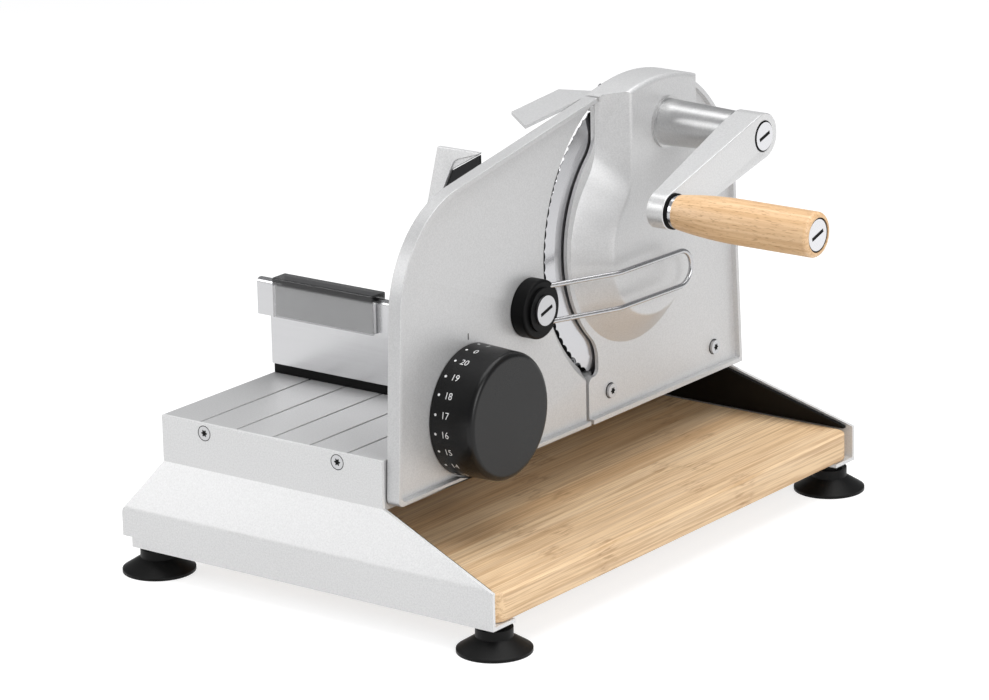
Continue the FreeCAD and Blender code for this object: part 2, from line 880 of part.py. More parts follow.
# Base deck: a hollow section, open below, with grooves that guide the carriage
def base_deck():
    body = new_body("deck_body")
    plan = new_sketch(body, "deck_plan", "XY", [[
        (shifted("deck_left"), "-deck_reach"),
        (shifted("deck_right"), "-deck_reach"),
        (shifted("deck_right"), "deck_reach"),
        (shifted("deck_left"), "deck_reach"),
    ]], "deck_under")
    block = body.newObject("PartDesign::Pad", "deck_block")
    block.Profile = plan
    bind(block, Length="deck_top - deck_under")
    body.Tip = block
    cell_outlines = []
    for index in range(int(size("deck_cells"))):
        near = "deck_end_wall - deck_reach + %d * cell_pitch" % index
        far = "%s + cell_pitch - deck_rib" % near
        cell_outlines.append([
            (shifted("deck_left + deck_left_wall"), near),
            (shifted("deck_right - deck_right_wall"), near),
            (shifted("deck_right - deck_right_wall"), far),
            (shifted("deck_left + deck_left_wall"), far),
        ])
    cells_plan = new_sketch(body, "deck_cells_plan", "XY", cell_outlines, "deck_under")
    pocket(body, "deck_hollows", cells_plan, "deck_top - deck_under - deck_skin", True)
    groove_plan = new_sketch(body, "groove_plan", "XY", [[
        (shifted("first_groove - groove_width / 2"), "-deck_reach"),
        (shifted("first_groove + groove_width / 2"), "-deck_reach"),
        (shifted("first_groove + groove_width / 2"), "deck_reach"),
        (shifted("first_groove - groove_width / 2"), "deck_reach"),
    ]], "deck_top")
    groove = pocket(body, "groove", groove_plan, "groove_depth")
    row = body.newObject("PartDesign::LinearPattern", "groove_row")
    row.Originals = [groove]
    row.Direction = (groove_plan, ["H_Axis"])
    bind(row, Length="groove_pitch * (groove_count - 1)", Occurrences="groove_count")
    body.Tip = row
    return body


GUIDES = (("front", "guide_front"), ("rear", "guide_rear"))
deck_inner = "deck_right - deck_right_wall"
deck_holes = bracket_holes["front"] + bracket_holes["rear"]
for end, y in GUIDES:
    hole = rod("guide_hole_" + end, "x", (y, "guide_z"), deck_inner + BEFORE,
               "deck_right" + BEYOND, "guide_bush_radius")
    deck_holes.append(hole)
HOUSING_SCREWS = (("left", "housing_screw_left"), ("right", "housing_screw_right"))
housing_screws = []
housing_holes = []
for spot, y in HOUSING_SCREWS:
    centre = (y, "housing_screw_z")
    face = "web_front + screw_head_height"
    housing_screws.append(screw("housing_screw_" + spot, "x", centre, face, -1, WALL_SCREW))
    housing_holes.append(screw_hole("housing_hole_" + spot, "x", centre, face, -1, WALL_SCREW))
follower_hole = rod("follower_socket", "x", ("dial_y", "follower_z"), deck_inner,
                    "deck_right" + BEYOND, "follower_radius")
deck_holes += housing_holes + [follower_hole]
node("base_deck", cut("base_deck_holed", base_deck(), *deck_holes))
node("housing_screws", group("housing_screw_group", housing_screws))


# Bushes in the deck's right wall, and the fixed pin that the thickness cam leans on
def bush(name, axis, centre, start, end, outer, inner):
    sleeve = rod(name + "_sleeve", axis, centre, start, end, outer)
    bore = rod(name + "_bore", axis, centre, start + BEFORE, end + BEYOND, inner + " + bore_play")
    return cut(name, sleeve, bore)


for end, y in GUIDES:
    sleeve = bush("guide_bush_" + end, "x", (y, "guide_z"), deck_inner, "deck_right",
                  "guide_bush_radius", "guide_radius")
    node("guide_bush_" + end, sleeve)
node("cam_follower_pin", rod("follower", "x", ("dial_y", "follower_z"), deck_inner,
                             "follower_tip", "follower_radius"))


# Main housing: a thin casting with a rim and a hollow, pear-shaped gear cover
def amount(text):
    """The value of a size's name or of a plain number."""
    return size(text) if text in DRIVING or text in DERIVED else float(text)


def housing_form(name, start, end, inset, left):
    """The housing's outline between two places along X, drawn in by inset and left."""
    low = "wall_bottom + %s" % inset
    inner = "housing_left_high + %s" % left
    ring = "housing_radius - %s" % inset
    high = "crown_top" + BEYOND
    panel = prism(name + "_panel", "x", [
        (inner, low),
        ("housing_right - %s" % inset, low),
        ("blade_y + %s" % ring, "blade_z"),
        (inner, "blade_z"),
    ], start, end)
    step = box(name + "_step", (start, end), ("housing_left_low + %s" % left, "blade_y"),
               (low, "housing_step"))
    upper = box(name + "_upper", (start, end), (inner, "housing_right"), ("blade_z", high))
    disc_ring = rod(name + "_disc", "x", ("blade_y", "blade_z"), start, end, ring)
    ringed = common(name + "_ringed", disc_ring, upper)
    flank = rod(name + "_flank", "x", ("blade_y", "blade_z"), start, end,
                "flank_radius - %s" % left)
    crest = crest_form(name + "_crest", start, end, inset, left)
    sharp = fuse(name + "_sharp", panel, step, ringed, flank, crest)
    doc.recompute()
    edge_y = size("housing_left_high") + amount(left)
    reach = size("flank_radius") - amount(left)
    half = math.sqrt(reach ** 2 - (size("blade_y") - edge_y) ** 2)
    meets_flank = lambda e: beside(e, edge_y, size("blade_z") + half) or (
        beside(e, edge_y, size("blade_z") - half))
    swept = rounded(name + "_swept", sharp, "flank_fillet", meets_flank)
    step_y = size("housing_left_low") + amount(left)
    at_step = lambda e: beside(e, edge_y, size("housing_step")) or (
        beside(e, step_y, size("housing_step")))
    return rounded(name, swept, "step_rounding", at_step)


def crest_form(name, start, end, inset, left):
    """The strip above the blade's axis that ends under the crown's arc."""
    crown = rod(name + "_crown", "x", ("crown_y", "crown_z"), start, end,
                "crown_radius - %s" % inset)
    strip = box(name + "_strip", (start, end),
                ("housing_left_high + %s" % left, "crest_right - %s" % inset),
                ("blade_z", "crown_top" + BEYOND))
    return common(name, crown, strip)


def pear_outline(x, place, draw_in):
    """The gear cover's closed outline at a place along X, drawn in all round.

    place runs from 0 at the cover's foot to 1 at its front. A round end is joined by a
    hollow fillet to the straight left side and runs on into the straight right side.
    """
    def between(detail):
        foot = size("cover_foot_" + detail)
        return foot + (size("cover_front_" + detail) - foot) * place
    centre = FreeCAD.Vector(x, between("y"), between("z"))
    radius = between("radius") - draw_in
    left = between("left") + draw_in
    bend = size("cover_fillet")
    apart = centre.y - left + bend
    rise = math.sqrt((radius + bend) ** 2 - apart ** 2)
    fillet = FreeCAD.Vector(x, left - bend, centre.z + rise)
    joint = centre + (fillet - centre) * (radius / (radius + bend))
    high = size("crown_top") + size("cast_wall")

    def round_end(turn):
        return centre + polar(radius, math.radians(turn))

    joint_turn = math.degrees(math.atan2(rise, -apart))
    right = centre.y + radius
    bend_end = FreeCAD.Vector(x, left, fillet.z)
    half_bend = (joint + bend_end) * 0.5 - fillet
    bend_middle = fillet + half_bend.normalize() * bend
    corners = [FreeCAD.Vector(x, left, high), FreeCAD.Vector(x, right, high)]
    edges = [
        Part.Arc(round_end(0), round_end(-45), round_end(-90)),
        Part.Arc(round_end(-90), round_end(-135), round_end(-180)),
        Part.Arc(round_end(180), round_end((180 + joint_turn) / 2), joint),
        Part.Arc(joint, bend_middle, bend_end),
        Part.LineSegment(bend_end, corners[0]),
        Part.LineSegment(corners[0], corners[1]),
        Part.LineSegment(corners[1], round_end(0)),
    ]
    return Part.Wire([edge.toShape() for edge in edges])


def cover_form(name, start, end, outward, draw_in):
    """The gear cover between two places along X; outward is how far its shape lies ahead."""
    wires = []
    for x in (start, end):
        place = (x + outward - size("web_front")) / (size("cover_front") - size("web_front"))
        wires.append(pear_outline(x, place, draw_in))
    return shaped(name, Part.makeLoft(wires, True, True))


def cover_limits(name, start, end, inset):
    """What the gear cover stays inside: the blade's ring and the crest."""
    ring = rod(name + "_ring", "x", ("blade_y", "blade_z"), start, end, "housing_radius - %s" % inset)
    return fuse(name, ring, crest_form(name + "_crest", start, end, inset, inset))


def main_housing():
    behind = "housing_back" + BEFORE
    blade_axis = ("blade_y", "blade_z")
    crank_axis = ("blade_y", "crank_z")
    slab = housing_form("housing_slab", "housing_back", "rim_front", "0", "0")
    recess = housing_form("housing_recess", "web_front", "rim_front" + BEYOND, "rim_width", "-1")
    hollow = housing_form("housing_hollow", behind, "web_back", "rim_width", "rim_width")
    shell = cut("housing_shell", slab, recess, hollow)
    bosses = []
    for spot, y in HOUSING_SCREWS:
        bosses.append(rod("housing_boss_" + spot, "x", (y, "housing_screw_z"), "deck_right",
                          "web_front", "housing_boss"))
    pear = cover_form("cover_pear", size("web_back"), size("cover_front"), 0, 0)
    limits = cover_limits("cover_limits", "web_back", "cover_front", "0")
    sharp_cover = common("cover_sharp", pear, limits)
    doc.recompute()
    front = size("cover_front") - size("origin_x")
    at_front = lambda e: abs(e.BoundBox.XMin - front) < 0.01 and e.BoundBox.XLength < 0.01
    cover = rounded("cover", sharp_cover, "cover_edge", at_front)
    solid = fuse("housing_solid", shell, cover, *bosses)
    inner_pear = cover_form("cover_room_pear", size("web_back") - size("cast_wall"),
                            size("cover_inner"), size("cast_wall"), size("cover_skin"))
    inner_limits = cover_limits("cover_room_limits", "web_back - cast_wall", "cover_inner",
                                "cast_wall")
    cover_room = common("cover_room", inner_pear, inner_limits)
    blade_room = rod("blade_room", "x", blade_axis, behind, "web_back", "blade_cut")
    hollowed = cut("housing_hollowed", solid, cover_room, blade_room)
    blade_boss = rod("blade_boss", "x", blade_axis, "boss_start", "cover_inner" + BEYOND,
                     "blade_boss_radius")
    spigot_boss = rod("spigot_boss_rod", "x", crank_axis, "spigot_start", "cover_inner" + BEYOND,
                      "spigot_boss")
    bossed = fuse("housing_bossed", hollowed, blade_boss, spigot_boss)
    bush_hole = rod("blade_bush_hole", "x", blade_axis, "boss_start" + BEFORE, "bush_floor",
                    "blade_bush_radius")
    crank_hole = rod("crank_hole", "x", crank_axis, "spigot_start" + BEFORE,
                     "cover_front" + BEYOND, "tube_spigot_radius")
    return cut("housing", bossed, bush_hole, crank_hole, *(housing_holes + shelf_holes))


shelf_screws = []
shelf_holes = []
shelf_face = "housing_back - shelf_sheet"
for spot in ("left", "right"):
    place = ("shelf_screw_%s_y" % spot, "shelf_screw_%s_z" % spot)
    shelf_screws.append(screw("shelf_screw_" + spot, "x", place, shelf_face, 1, SHELF_SCREW))
    shelf_holes.append(screw_hole("shelf_hole_" + spot, "x", place, shelf_face, 1, SHELF_SCREW))
node("main_housing", main_housing())
node("blade_bush", bush("blade_bush", "x", ("blade_y", "blade_z"), "boss_start", "bush_floor",
                        "blade_bush_radius", "blade_axle_radius"))


# Sheet shelf that covers the blade's rim on the food side
def guard_shelf():
    top = "shelf_height - (shelf_back - (%s)) * tan(shelf_slope)"
    front = top % "shelf_front"
    back = top % "shelf_tab_end"
    band = prism("shelf_band", "x", [
        ("shelf_front", "%s - shelf_sheet" % front),
        ("shelf_tab_end", "%s - shelf_sheet" % back),
        ("shelf_tab_end", back),
        ("shelf_front", front),
    ], "shelf_inner", "shelf_edge")
    plan = prism("shelf_plan", "z", [
        ("shelf_inner", "shelf_front + shelf_cut"),
        ("shelf_edge", "shelf_front"),
        ("shelf_edge", "shelf_back + shelf_lead"),
        ("shelf_inner", "shelf_back"),
    ], "shelf_height - shelf_back", "shelf_height + shelf_back")
    sheet_part = common("shelf_sheet_part", band, plan)
    tab = prism("shelf_tab", "x", [
        ("shelf_back - shelf_tab_drop", "shelf_height - 2 * shelf_tab_drop"),
        ("shelf_tab_right", "shelf_height"),
        ("shelf_tab_right", "shelf_height + shelf_tab_drop"),
        ("shelf_back - shelf_tab_drop", "shelf_height"),
    ], shelf_face, "housing_back")
    joined = fuse("shelf_joined", sheet_part, tab)
    clear = rod("shelf_clear", "x", ("blade_y", "blade_z"), "food_face - bore_play",
                "web_front", "blade_cut")
    return cut("shelf", joined, clear, *shelf_holes)


node("guard_shelf", guard_shelf())
node("shelf_screws", group("shelf_screw_group", shelf_screws))


# Bearing tube for the crank, and its two bushes
def crank_tube():
    return turned("crank_tube_form", "x", ("blade_y", "crank_z"), [
        ("spigot_start", "bush_radius"),
        ("spigot_start", "tube_spigot_radius"),
        ("cover_front", "tube_spigot_radius"),
        ("cover_front", "tube_flange_radius"),
        ("cover_front + tube_flange", "tube_flange_radius"),
        ("cover_front + tube_flange", "tube_root_radius"),
        ("tube_end", "tube_tip_radius"),
        ("tube_end", "bush_radius"),
    ])


node("crank_tube", crank_tube())
for name, start in (("inner", "spigot_start"), ("outer", "tube_end - bush_length - crank_washer")):
    sleeve = bush("crank_bush_" + name, "x", ("blade_y", "crank_z"), start,
                  start + " + bush_length", "bush_radius", "crank_radius")
    node("crank_bush_" + name, sleeve)


# Gears, drawn with involute flanks of a few straight steps
FLANK_STEPS = 4


def gear_face(teeth, turn, bore):
    """A gear's face square to X about the origin; turn is where a tooth points."""
    module = size("gear_module")
    pressure = math.radians(size("pressure_angle"))
    pitch_radius = module * teeth / 2
    base_radius = pitch_radius * math.cos(pressure)
    tip_radius = pitch_radius + module
    root_radius = pitch_radius - size("gear_clearance") * module
    pitch_half = size("tooth_share") * math.pi / teeth
    start_radius = max(base_radius, root_radius)
    flank = []
    for step in range(FLANK_STEPS + 1):
        radius = start_radius + (tip_radius - start_radius) * step / FLANK_STEPS
        angle = math.acos(base_radius / radius)
        spread = math.tan(pressure) - pressure - math.tan(angle) + angle
        flank.append((radius, pitch_half + spread))
    if root_radius < base_radius:
        flank.insert(0, (root_radius, flank[0][1]))
    points = []
    for index in range(teeth):
        middle_turn = turn + 2 * math.pi * index / teeth
        for radius, half in flank:
            points.append(polar(radius, middle_turn - half))
        for radius, half in reversed(flank):
            points.append(polar(radius, middle_turn + half))
    points.append(points[0])
    outer = Part.Face(Part.makePolygon(points))
    return outer.cut(disc(0, bore))


def tube_solid(start, end, outer, inner):
    """A plain ring about X."""
    ring = disc(start, outer).cut(disc(start, inner))
    return ring.extrude(FreeCAD.Vector(end - start, 0, 0))


def rod_solid(start, end, radius, y=0, z=0):
    return Part.makeCylinder(radius, end - start, FreeCAD.Vector(start, y, z), FreeCAD.Vector(1, 0, 0))


def blade_gear():
    """Gear and fixing flange in one, measured from the blade's front face."""
    start = size("gear_back") - size("blade_back")
    end = start + size("gear_face")
    axle = size("blade_axle_radius")
    teeth = int(size("blade_teeth"))
    toothed = gear_face(teeth, math.pi / 2 + math.pi / teeth, axle)
    toothed.translate(FreeCAD.Vector(start, 0, 0))
    gear = toothed.extrude(FreeCAD.Vector(end - start, 0, 0))
    gear = gear.fuse(tube_solid(0, start, size("blade_flange_radius"), axle))
    recess = size("boss_start") - size("boss_gap") - size("blade_back")
    gear = gear.cut(rod_solid(recess, end, size("blade_boss_radius") + size("boss_gap")))
    for y, z in gear_screw_places():
        radius = size("shelf_screw_radius")
        reach = size("shelf_screw_length") - size("blade_thickness")
        gear = gear.cut(rod_solid(0, reach, radius, y, z))
    return shaped("blade_gear_form", gear.removeSplitter(), "blade_back", "blade_y", "blade_z")


def gear_screw_places():
    count = int(size("gear_screw_count"))
    circle = size("gear_screw_circle")
    turns = [math.pi / 2 + 2 * math.pi * index / count for index in range(count)]
    return [(circle * math.cos(turn), circle * math.sin(turn)) for turn in turns]


def slicing_blade():
    """Round blade with a scalloped, bevelled edge, measured from the food side."""
    count = int(size("scallop_count"))
    radius = size("blade_radius")
    thickness = size("blade_thickness")
    edges = []
    for index in range(count):
        turn = 2 * math.pi / count
        tip = polar(radius, turn * index)
        dip = polar(radius - size("scallop_depth"), turn * (index + 0.5))
        following = polar(radius, turn * (index + 1))
        edges.append(Part.Arc(tip, dip, following).toShape())
    face = Part.Face(Part.Wire(edges))
    blank = face.extrude(FreeCAD.Vector(thickness, 0, 0))
    beyond = radius + thickness
    slope = (thickness - size("blade_edge")) / size("blade_bevel")
    outline = Part.makePolygon([
        FreeCAD.Vector(0, 0, 0),
        FreeCAD.Vector(thickness, 0, 0),
        FreeCAD.Vector(thickness, radius - size("blade_bevel"), 0),
        FreeCAD.Vector(size("blade_edge") - slope * thickness, beyond, 0),
        FreeCAD.Vector(0, beyond, 0),
        FreeCAD.Vector(0, 0, 0),
    ])
    ground = Part.Face(outline).revolve(FreeCAD.Vector(), FreeCAD.Vector(1, 0, 0), 360)
    blade = blank.common(ground)
    blade = blade.cut(rod_solid(0, thickness, size("blade_axle_radius")))
    for y, z in gear_screw_places():
        head = size("shelf_screw_head")
        shank = size("shelf_screw_radius")
        sink = size("shelf_screw_head_height")
        start = FreeCAD.Vector(0, y, z)
        blade = blade.cut(Part.makeCone(head, shank, sink, start, FreeCAD.Vector(1, 0, 0)))
        blade = blade.cut(rod_solid(0, thickness, shank, y, z))
    return shaped("blade_form", blade, "food_face", "blade_y", "blade_z")


def gear_screws():
    """Countersunk screws that hold the gear to the blade."""
    screws = []
    for y, z in gear_screw_places():
        head = size("shelf_screw_head")
        shank = size("shelf_screw_radius")
        sink = size("shelf_screw_head_height")
        start = FreeCAD.Vector(0, y, z)
        form = Part.makeCone(head, shank, sink, start, FreeCAD.Vector(1, 0, 0))
        form = form.fuse(rod_solid(0, size("shelf_screw_length"), shank, y, z)).removeSplitter()
        screws.append(form)
    return shaped("gear_screw_forms", Part.makeCompound(screws), "food_face", "blade_y", "blade_z")


node("slicing_blade", slicing_blade())
node("blade_gear", blade_gear())
node("gear_screws", gear_screws())


def blade_axle():
    stub = rod("blade_stub", "x", ("blade_y", "blade_z"), "food_face - bore_play",
               "bush_floor - bore_play", "blade_axle_radius")
    thread = rod("blade_thread", "x", ("blade_y", "blade_z"), "food_face" + BEFORE,
                 "food_face + lock_length", "lock_shank")
    return cut("blade_axle_form", stub, thread)


def turn_about_x(item, angle, centre):
    """Turn an item about the X axis and carry it to a place in the YZ plane."""
    item.Placement = FreeCAD.Placement(FreeCAD.Vector(), FreeCAD.Rotation(FreeCAD.Vector(1, 0, 0), 1))
    bind(item, Placement__Rotation__Angle=angle)
    put(item, "0", *centre)


def slotted_head(name, centre, face, way, radius, height, shank, length):
    """A round head with a short slot in it, on a shank; way points into the machine."""
    blank = turned(name + "_blank", "x", centre, [
        (face, "0"),
        (face, radius),
        (along(face, way, height), radius),
        (along(face, way, height), shank),
        (along(face, way, length), shank),
        (along(face, way, length), "0"),
    ])
    floor = along(face, way, "(%s) / 2" % height)
    reach = "slot_share * (%s)" % radius
    slot = prism(name + "_slot", "x", [
        ("-" + reach, "-coin_slot / 2"),
        (reach, "-coin_slot / 2"),
        (reach, "coin_slot / 2"),
        ("-" + reach, "coin_slot / 2"),
    ], *((floor, face) if way < 0 else (face, floor)))
    turn_about_x(slot, "slot_turn", centre)
    return cut(name, blank, slot)


node("blade_axle", blade_axle())
node("blade_lock_screw", slotted_head("lock_screw", ("blade_y", "blade_z"),
                                      "food_face - bore_play - lock_height", 1, "lock_radius",
                                      "lock_height", "lock_shank", "lock_height + lock_length"))


# Crank: shaft, gear, washer, arm, bolt and turning grip
def crank_gear():
    """The small gear with its hub, measured from its back face."""
    teeth = int(size("crank_teeth"))
    face = gear_face(teeth, -math.pi / 2, size("crank_radius"))
    gear = face.extrude(FreeCAD.Vector(size("gear_face"), 0, 0))
    hub_end = size("gear_hub_end") - size("gear_back")
    gear = gear.fuse(tube_solid(0, hub_end, size("gear_hub_radius"), size("crank_radius")))
    pin = gear_pin_solid(hub_end)
    return shaped("crank_gear_form", gear.cut(pin).removeSplitter(), "gear_back", "blade_y", "crank_z")


def gear_pin_solid(hub_end):
    """The cross pin through hub and shaft."""
    place = (hub_end + size("gear_face")) / 2
    reach = size("gear_hub_radius") - size("bore_play")
    return Part.makeCylinder(size("gear_pin_radius"), 2 * reach,
                             FreeCAD.Vector(place, 0, -reach), FreeCAD.Vector(0, 0, 1))


def crank_shaft():
    shaft = rod("shaft_rod", "x", ("blade_y", "crank_z"), "gear_back - bore_play",
                "arm_outer - cap_height", "crank_radius")
    pin = shaped("shaft_pin_hole", gear_pin_solid(size("gear_hub_end") - size("gear_back")),
                 "gear_back", "blade_y", "crank_z")
    return cut("shaft", shaft, pin)


node("crank_shaft", crank_shaft())
node("crank_gear", crank_gear())
node("gear_pin", shaped("gear_pin_form", gear_pin_solid(size("gear_hub_end") - size("gear_back")),
                        "gear_back", "blade_y", "crank_z"))
node("crank_washer", bush("crank_washer", "x", ("blade_y", "crank_z"),
                          "tube_end + crank_washer_play", "arm_inner - crank_washer_play",
                          "tube_tip_radius - bore_play", "crank_radius"))


def arm_corner(y, z, radius, way):
    """A place on the arm's long edge beside one of its ends."""
    across = "%s - %d * %s * sin(arm_angle)" % (y, way, radius)
    up = "%s + %d * %s * cos(arm_angle)" % (z, way, radius)
    return (across, up)


def crank_arm():
    """A flat lever whose inner face draws in towards the grip."""
    shaft_axis = ("blade_y", "crank_z")
    bar = prism("arm_bar", "x", [
        arm_corner("blade_y", "crank_z", "arm_shaft_end_radius", 1),
        arm_corner("grip_y", "grip_z", "arm_grip_end_radius", 1),
        arm_corner("grip_y", "grip_z", "arm_grip_end_radius", -1),
        arm_corner("blade_y", "crank_z", "arm_shaft_end_radius", -1),
    ], "arm_inner", "arm_outer")
    shaft_end = rod("arm_shaft_end", "x", shaft_axis, "arm_inner", "arm_outer",
                    "arm_shaft_end_radius")
    grip_end = rod("arm_grip_end", "x", grip_axis, "arm_inner", "arm_outer", "arm_grip_end_radius")
    whole = fuse("arm_whole", bar, shaft_end, grip_end)
    # The side view's long way is turned onto the line from the shaft to the grip
    reach = "arm_length + 2 * arm_grip_end_radius"
    side_view = prism("arm_side", "z", [
        ("arm_inner", "-2 * arm_shaft_end_radius"),
        ("arm_outer", "-2 * arm_shaft_end_radius"),
        ("arm_outer", reach),
        ("arm_outer - arm_tip_thickness", reach),
        ("arm_outer - arm_tip_thickness", "arm_length"),
        ("arm_inner", "arm_shaft_end_radius"),
    ], "-2 * arm_shaft_end_radius", "2 * arm_shaft_end_radius")
    turn_about_x(side_view, "arm_angle", shaft_axis)
    tapered = common("arm_tapered", whole, side_view)
    shaft_hole = rod("arm_shaft_hole", "x", shaft_axis, "arm_inner" + BEFORE,
                     "arm_outer" + BEYOND, "crank_radius")
    cap_seat = rod("arm_cap_seat", "x", shaft_axis, "arm_outer - cap_height",
                   "arm_outer" + BEYOND, "cap_radius")
    bolt_hole = rod("arm_bolt_hole", "x", grip_axis, "arm_inner" + BEFORE,
                    "arm_outer" + BEYOND, "grip_bolt_radius")
    return cut("arm", tapered, shaft_hole, cap_seat, bolt_hole)


grip_axis = ("grip_y", "grip_z")
node("crank_arm", crank_arm())
node("arm_cap", slotted_head("arm_cap_form", ("blade_y", "crank_z"), "arm_outer + cap_height / 2",
                             -1, "cap_radius - cap_ring", "cap_height",
                             "cap_radius - 2 * cap_ring", "1.5 * cap_height"))
node("grip_washer", bush("grip_washer", "x", grip_axis, "arm_outer", "arm_outer + grip_washer",
                         "grip_washer_radius", "grip_bolt_radius - bore_play"))
node("grip_ferrule", bush("grip_ferrule", "x", grip_axis, "ferrule_start", "wood_start",
                          "grip_ferrule_radius", "sleeve_radius - bore_play"))


def handle_grip():
    """Turned wooden grip: it swells from the arm, runs straight and has a rounded end."""
    start = size("wood_start")
    end = size("right_end")
    floor = size("grip_recess_floor")
    slim = size("grip_small_radius")
    full = size("grip_large_radius")
    bore = size("sleeve_radius")
    recess = size("grip_recess_radius")
    swell = size("grip_swell")
    # The swelling's arc ends level with the straight part
    bend = (swell ** 2 + (full - slim) ** 2) / (2 * (full - slim))
    halfway = full - bend + math.sqrt(bend ** 2 - (swell / 2) ** 2)
    arc = Part.Arc(FreeCAD.Vector(start, slim, 0), FreeCAD.Vector(start + swell / 2, halfway, 0),
                   FreeCAD.Vector(start + swell, full, 0)).toShape()
    places = [(start + swell, full), (end, full), (end, recess), (floor, recess), (floor, bore),
              (start, bore), (start, slim)]
    rest = Part.makePolygon([FreeCAD.Vector(x, radius, 0) for x, radius in places])
    outline = Part.Face(Part.Wire([arc] + rest.Edges))
    form = outline.revolve(FreeCAD.Vector(), FreeCAD.Vector(1, 0, 0), 360)
    item = shaped("grip_form", form, "0", "grip_y", "grip_z")
    return rounded("grip", item, "grip_nose", rim_of(end, full))


node("handle_grip", handle_grip())
node("grip_sleeve", bush("grip_sleeve", "x", grip_axis, "ferrule_start", "grip_recess_floor",
                         "sleeve_radius", "grip_bolt_radius"))
bolt_start = "arm_outer - arm_tip_thickness + bolt_end_sink"
node("handle_bolt", slotted_head("handle_bolt_form", grip_axis, "bolt_face", -1,
                                 "bolt_head_radius", "bolt_head_height", "grip_bolt_radius",
                                 "bolt_face - (%s)" % bolt_start))


# Stop plate, which moves out from the food face to set the slices' thickness
def plate_form(name, start, end, inset, right):
    blank = prism(name + "_blank", "x", [
        ("plate_left + %s" % inset, "wall_bottom + %s" % inset),
        ("plate_corner_y + %s" % inset, "plate_corner_height - %s" % inset),
        ("plate_right_high - %s" % right, "plate_top_right - %s" % inset),
        ("plate_right_high - %s" % right, "blade_z"),
        ("plate_right_low - %s" % right, "blade_z"),
        ("plate_right_low - %s" % right, "wall_bottom + %s" % inset),
    ], start, end)
    doc.recompute()
    shift = 0 if inset == "0" else size(inset)
    corner = (size("plate_corner_y") + shift, size("plate_corner_height") - shift)
    foot = (size("plate_left") + shift, size("wall_bottom") + shift)
    turned_corner = rounded(name + "_corner", blank, "plate_corner_radius",
                            lambda e: beside(e, *corner))
    return rounded(name, turned_corner, "plate_foot_radius", lambda e: beside(e, *foot))


def stop_plate():
    slab = plate_form("plate_slab", "food_face", "rim_front", "0", "0")
    recess = plate_form("plate_recess", "web_front", "rim_front" + BEYOND, "rim_width", "-1")
    # The arc beside the blade opens towards the front, so that the blade's teeth show
    blade_axis = ("blade_y", "blade_z")
    steepness = "plate_arc_flare / (web_front - food_face)"
    flare = cone("plate_arc_flare_cone", "x", blade_axis, "food_face" + BEFORE, "web_front",
                 "plate_cut - %s" % steepness, "plate_cut + plate_arc_flare")
    arc = rod("plate_arc", "x", blade_axis, "web_front", "rim_front" + BEYOND,
              "plate_cut + plate_arc_flare")
    dial_room = rod("dial_room", "x", ("dial_y", "dial_z"), "web_front", "rim_front" + BEYOND,
                    "dial_back_radius + dial_gap")
    pin_hole = rod("plate_pin_hole", "x", ("dial_y", "follower_z"), "food_face" + BEFORE,
                   "web_front" + BEYOND, "follower_hole")
    dial_hole = rod("plate_dial_hole", "x", ("dial_y", "dial_z"), "food_face + axle_skin",
                    "web_front" + BEYOND, "dial_axle_radius")
    bolt_hole = rod("plate_bolt_hole", "x", ("hub_y", "hub_z"), "food_face + axle_skin",
                    "web_front" + BEYOND, "hub_bolt_radius")
    tools = [recess, flare, arc, dial_room, pin_hole, dial_hole, bolt_hole]
    for end, y in GUIDES:
        tools.append(rod("plate_socket_" + end, "x", (y, "guide_z"), "food_face" + BEFORE,
                         "food_face + guide_socket", "guide_radius"))
    return cut("plate", slab, *tools)


node("stop_plate", stop_plate())
for end, y in GUIDES:
    guide = rod("guide_rod_form_" + end, "x", (y, "guide_z"), "guide_inner",
                "food_face + guide_socket", "guide_radius")
    node("guide_rod_" + end, guide)
    node("guide_collar_" + end, bush("guide_collar_form_" + end, "x", (y, "guide_z"),
                                     "guide_inner", "guide_inner + guide_collar",
                                     "guide_collar_radius", "guide_radius - bore_play"))
node("dial_axle", rod("dial_axle_rod", "x", ("dial_y", "dial_z"), "food_face + axle_skin",
                      "cam_seat - bore_play", "dial_axle_radius"))


# Thickness dial: a hollow knob with a face cam inside
def thickness_dial():
    form = turned("dial_form", "x", ("dial_y", "dial_z"), [
        ("dial_back", "dial_back_radius - dial_wall"),
        ("dial_back", "dial_back_radius"),
        ("dial_front", "dial_front_radius"),
        ("dial_front", "0"),
        ("cam_seat", "0"),
        ("cam_seat", "dial_axle_radius + bore_play"),
        ("dial_back", "dial_axle_radius + bore_play"),
        ("dial_back", "dial_hub_radius"),
        ("cam_seat", "dial_hub_radius"),
        ("cam_seat", "dial_front_radius - dial_wall"),
    ])
    return rounded("dial", form, "dial_edge", rim_of(size("dial_front"), size("dial_front_radius")))


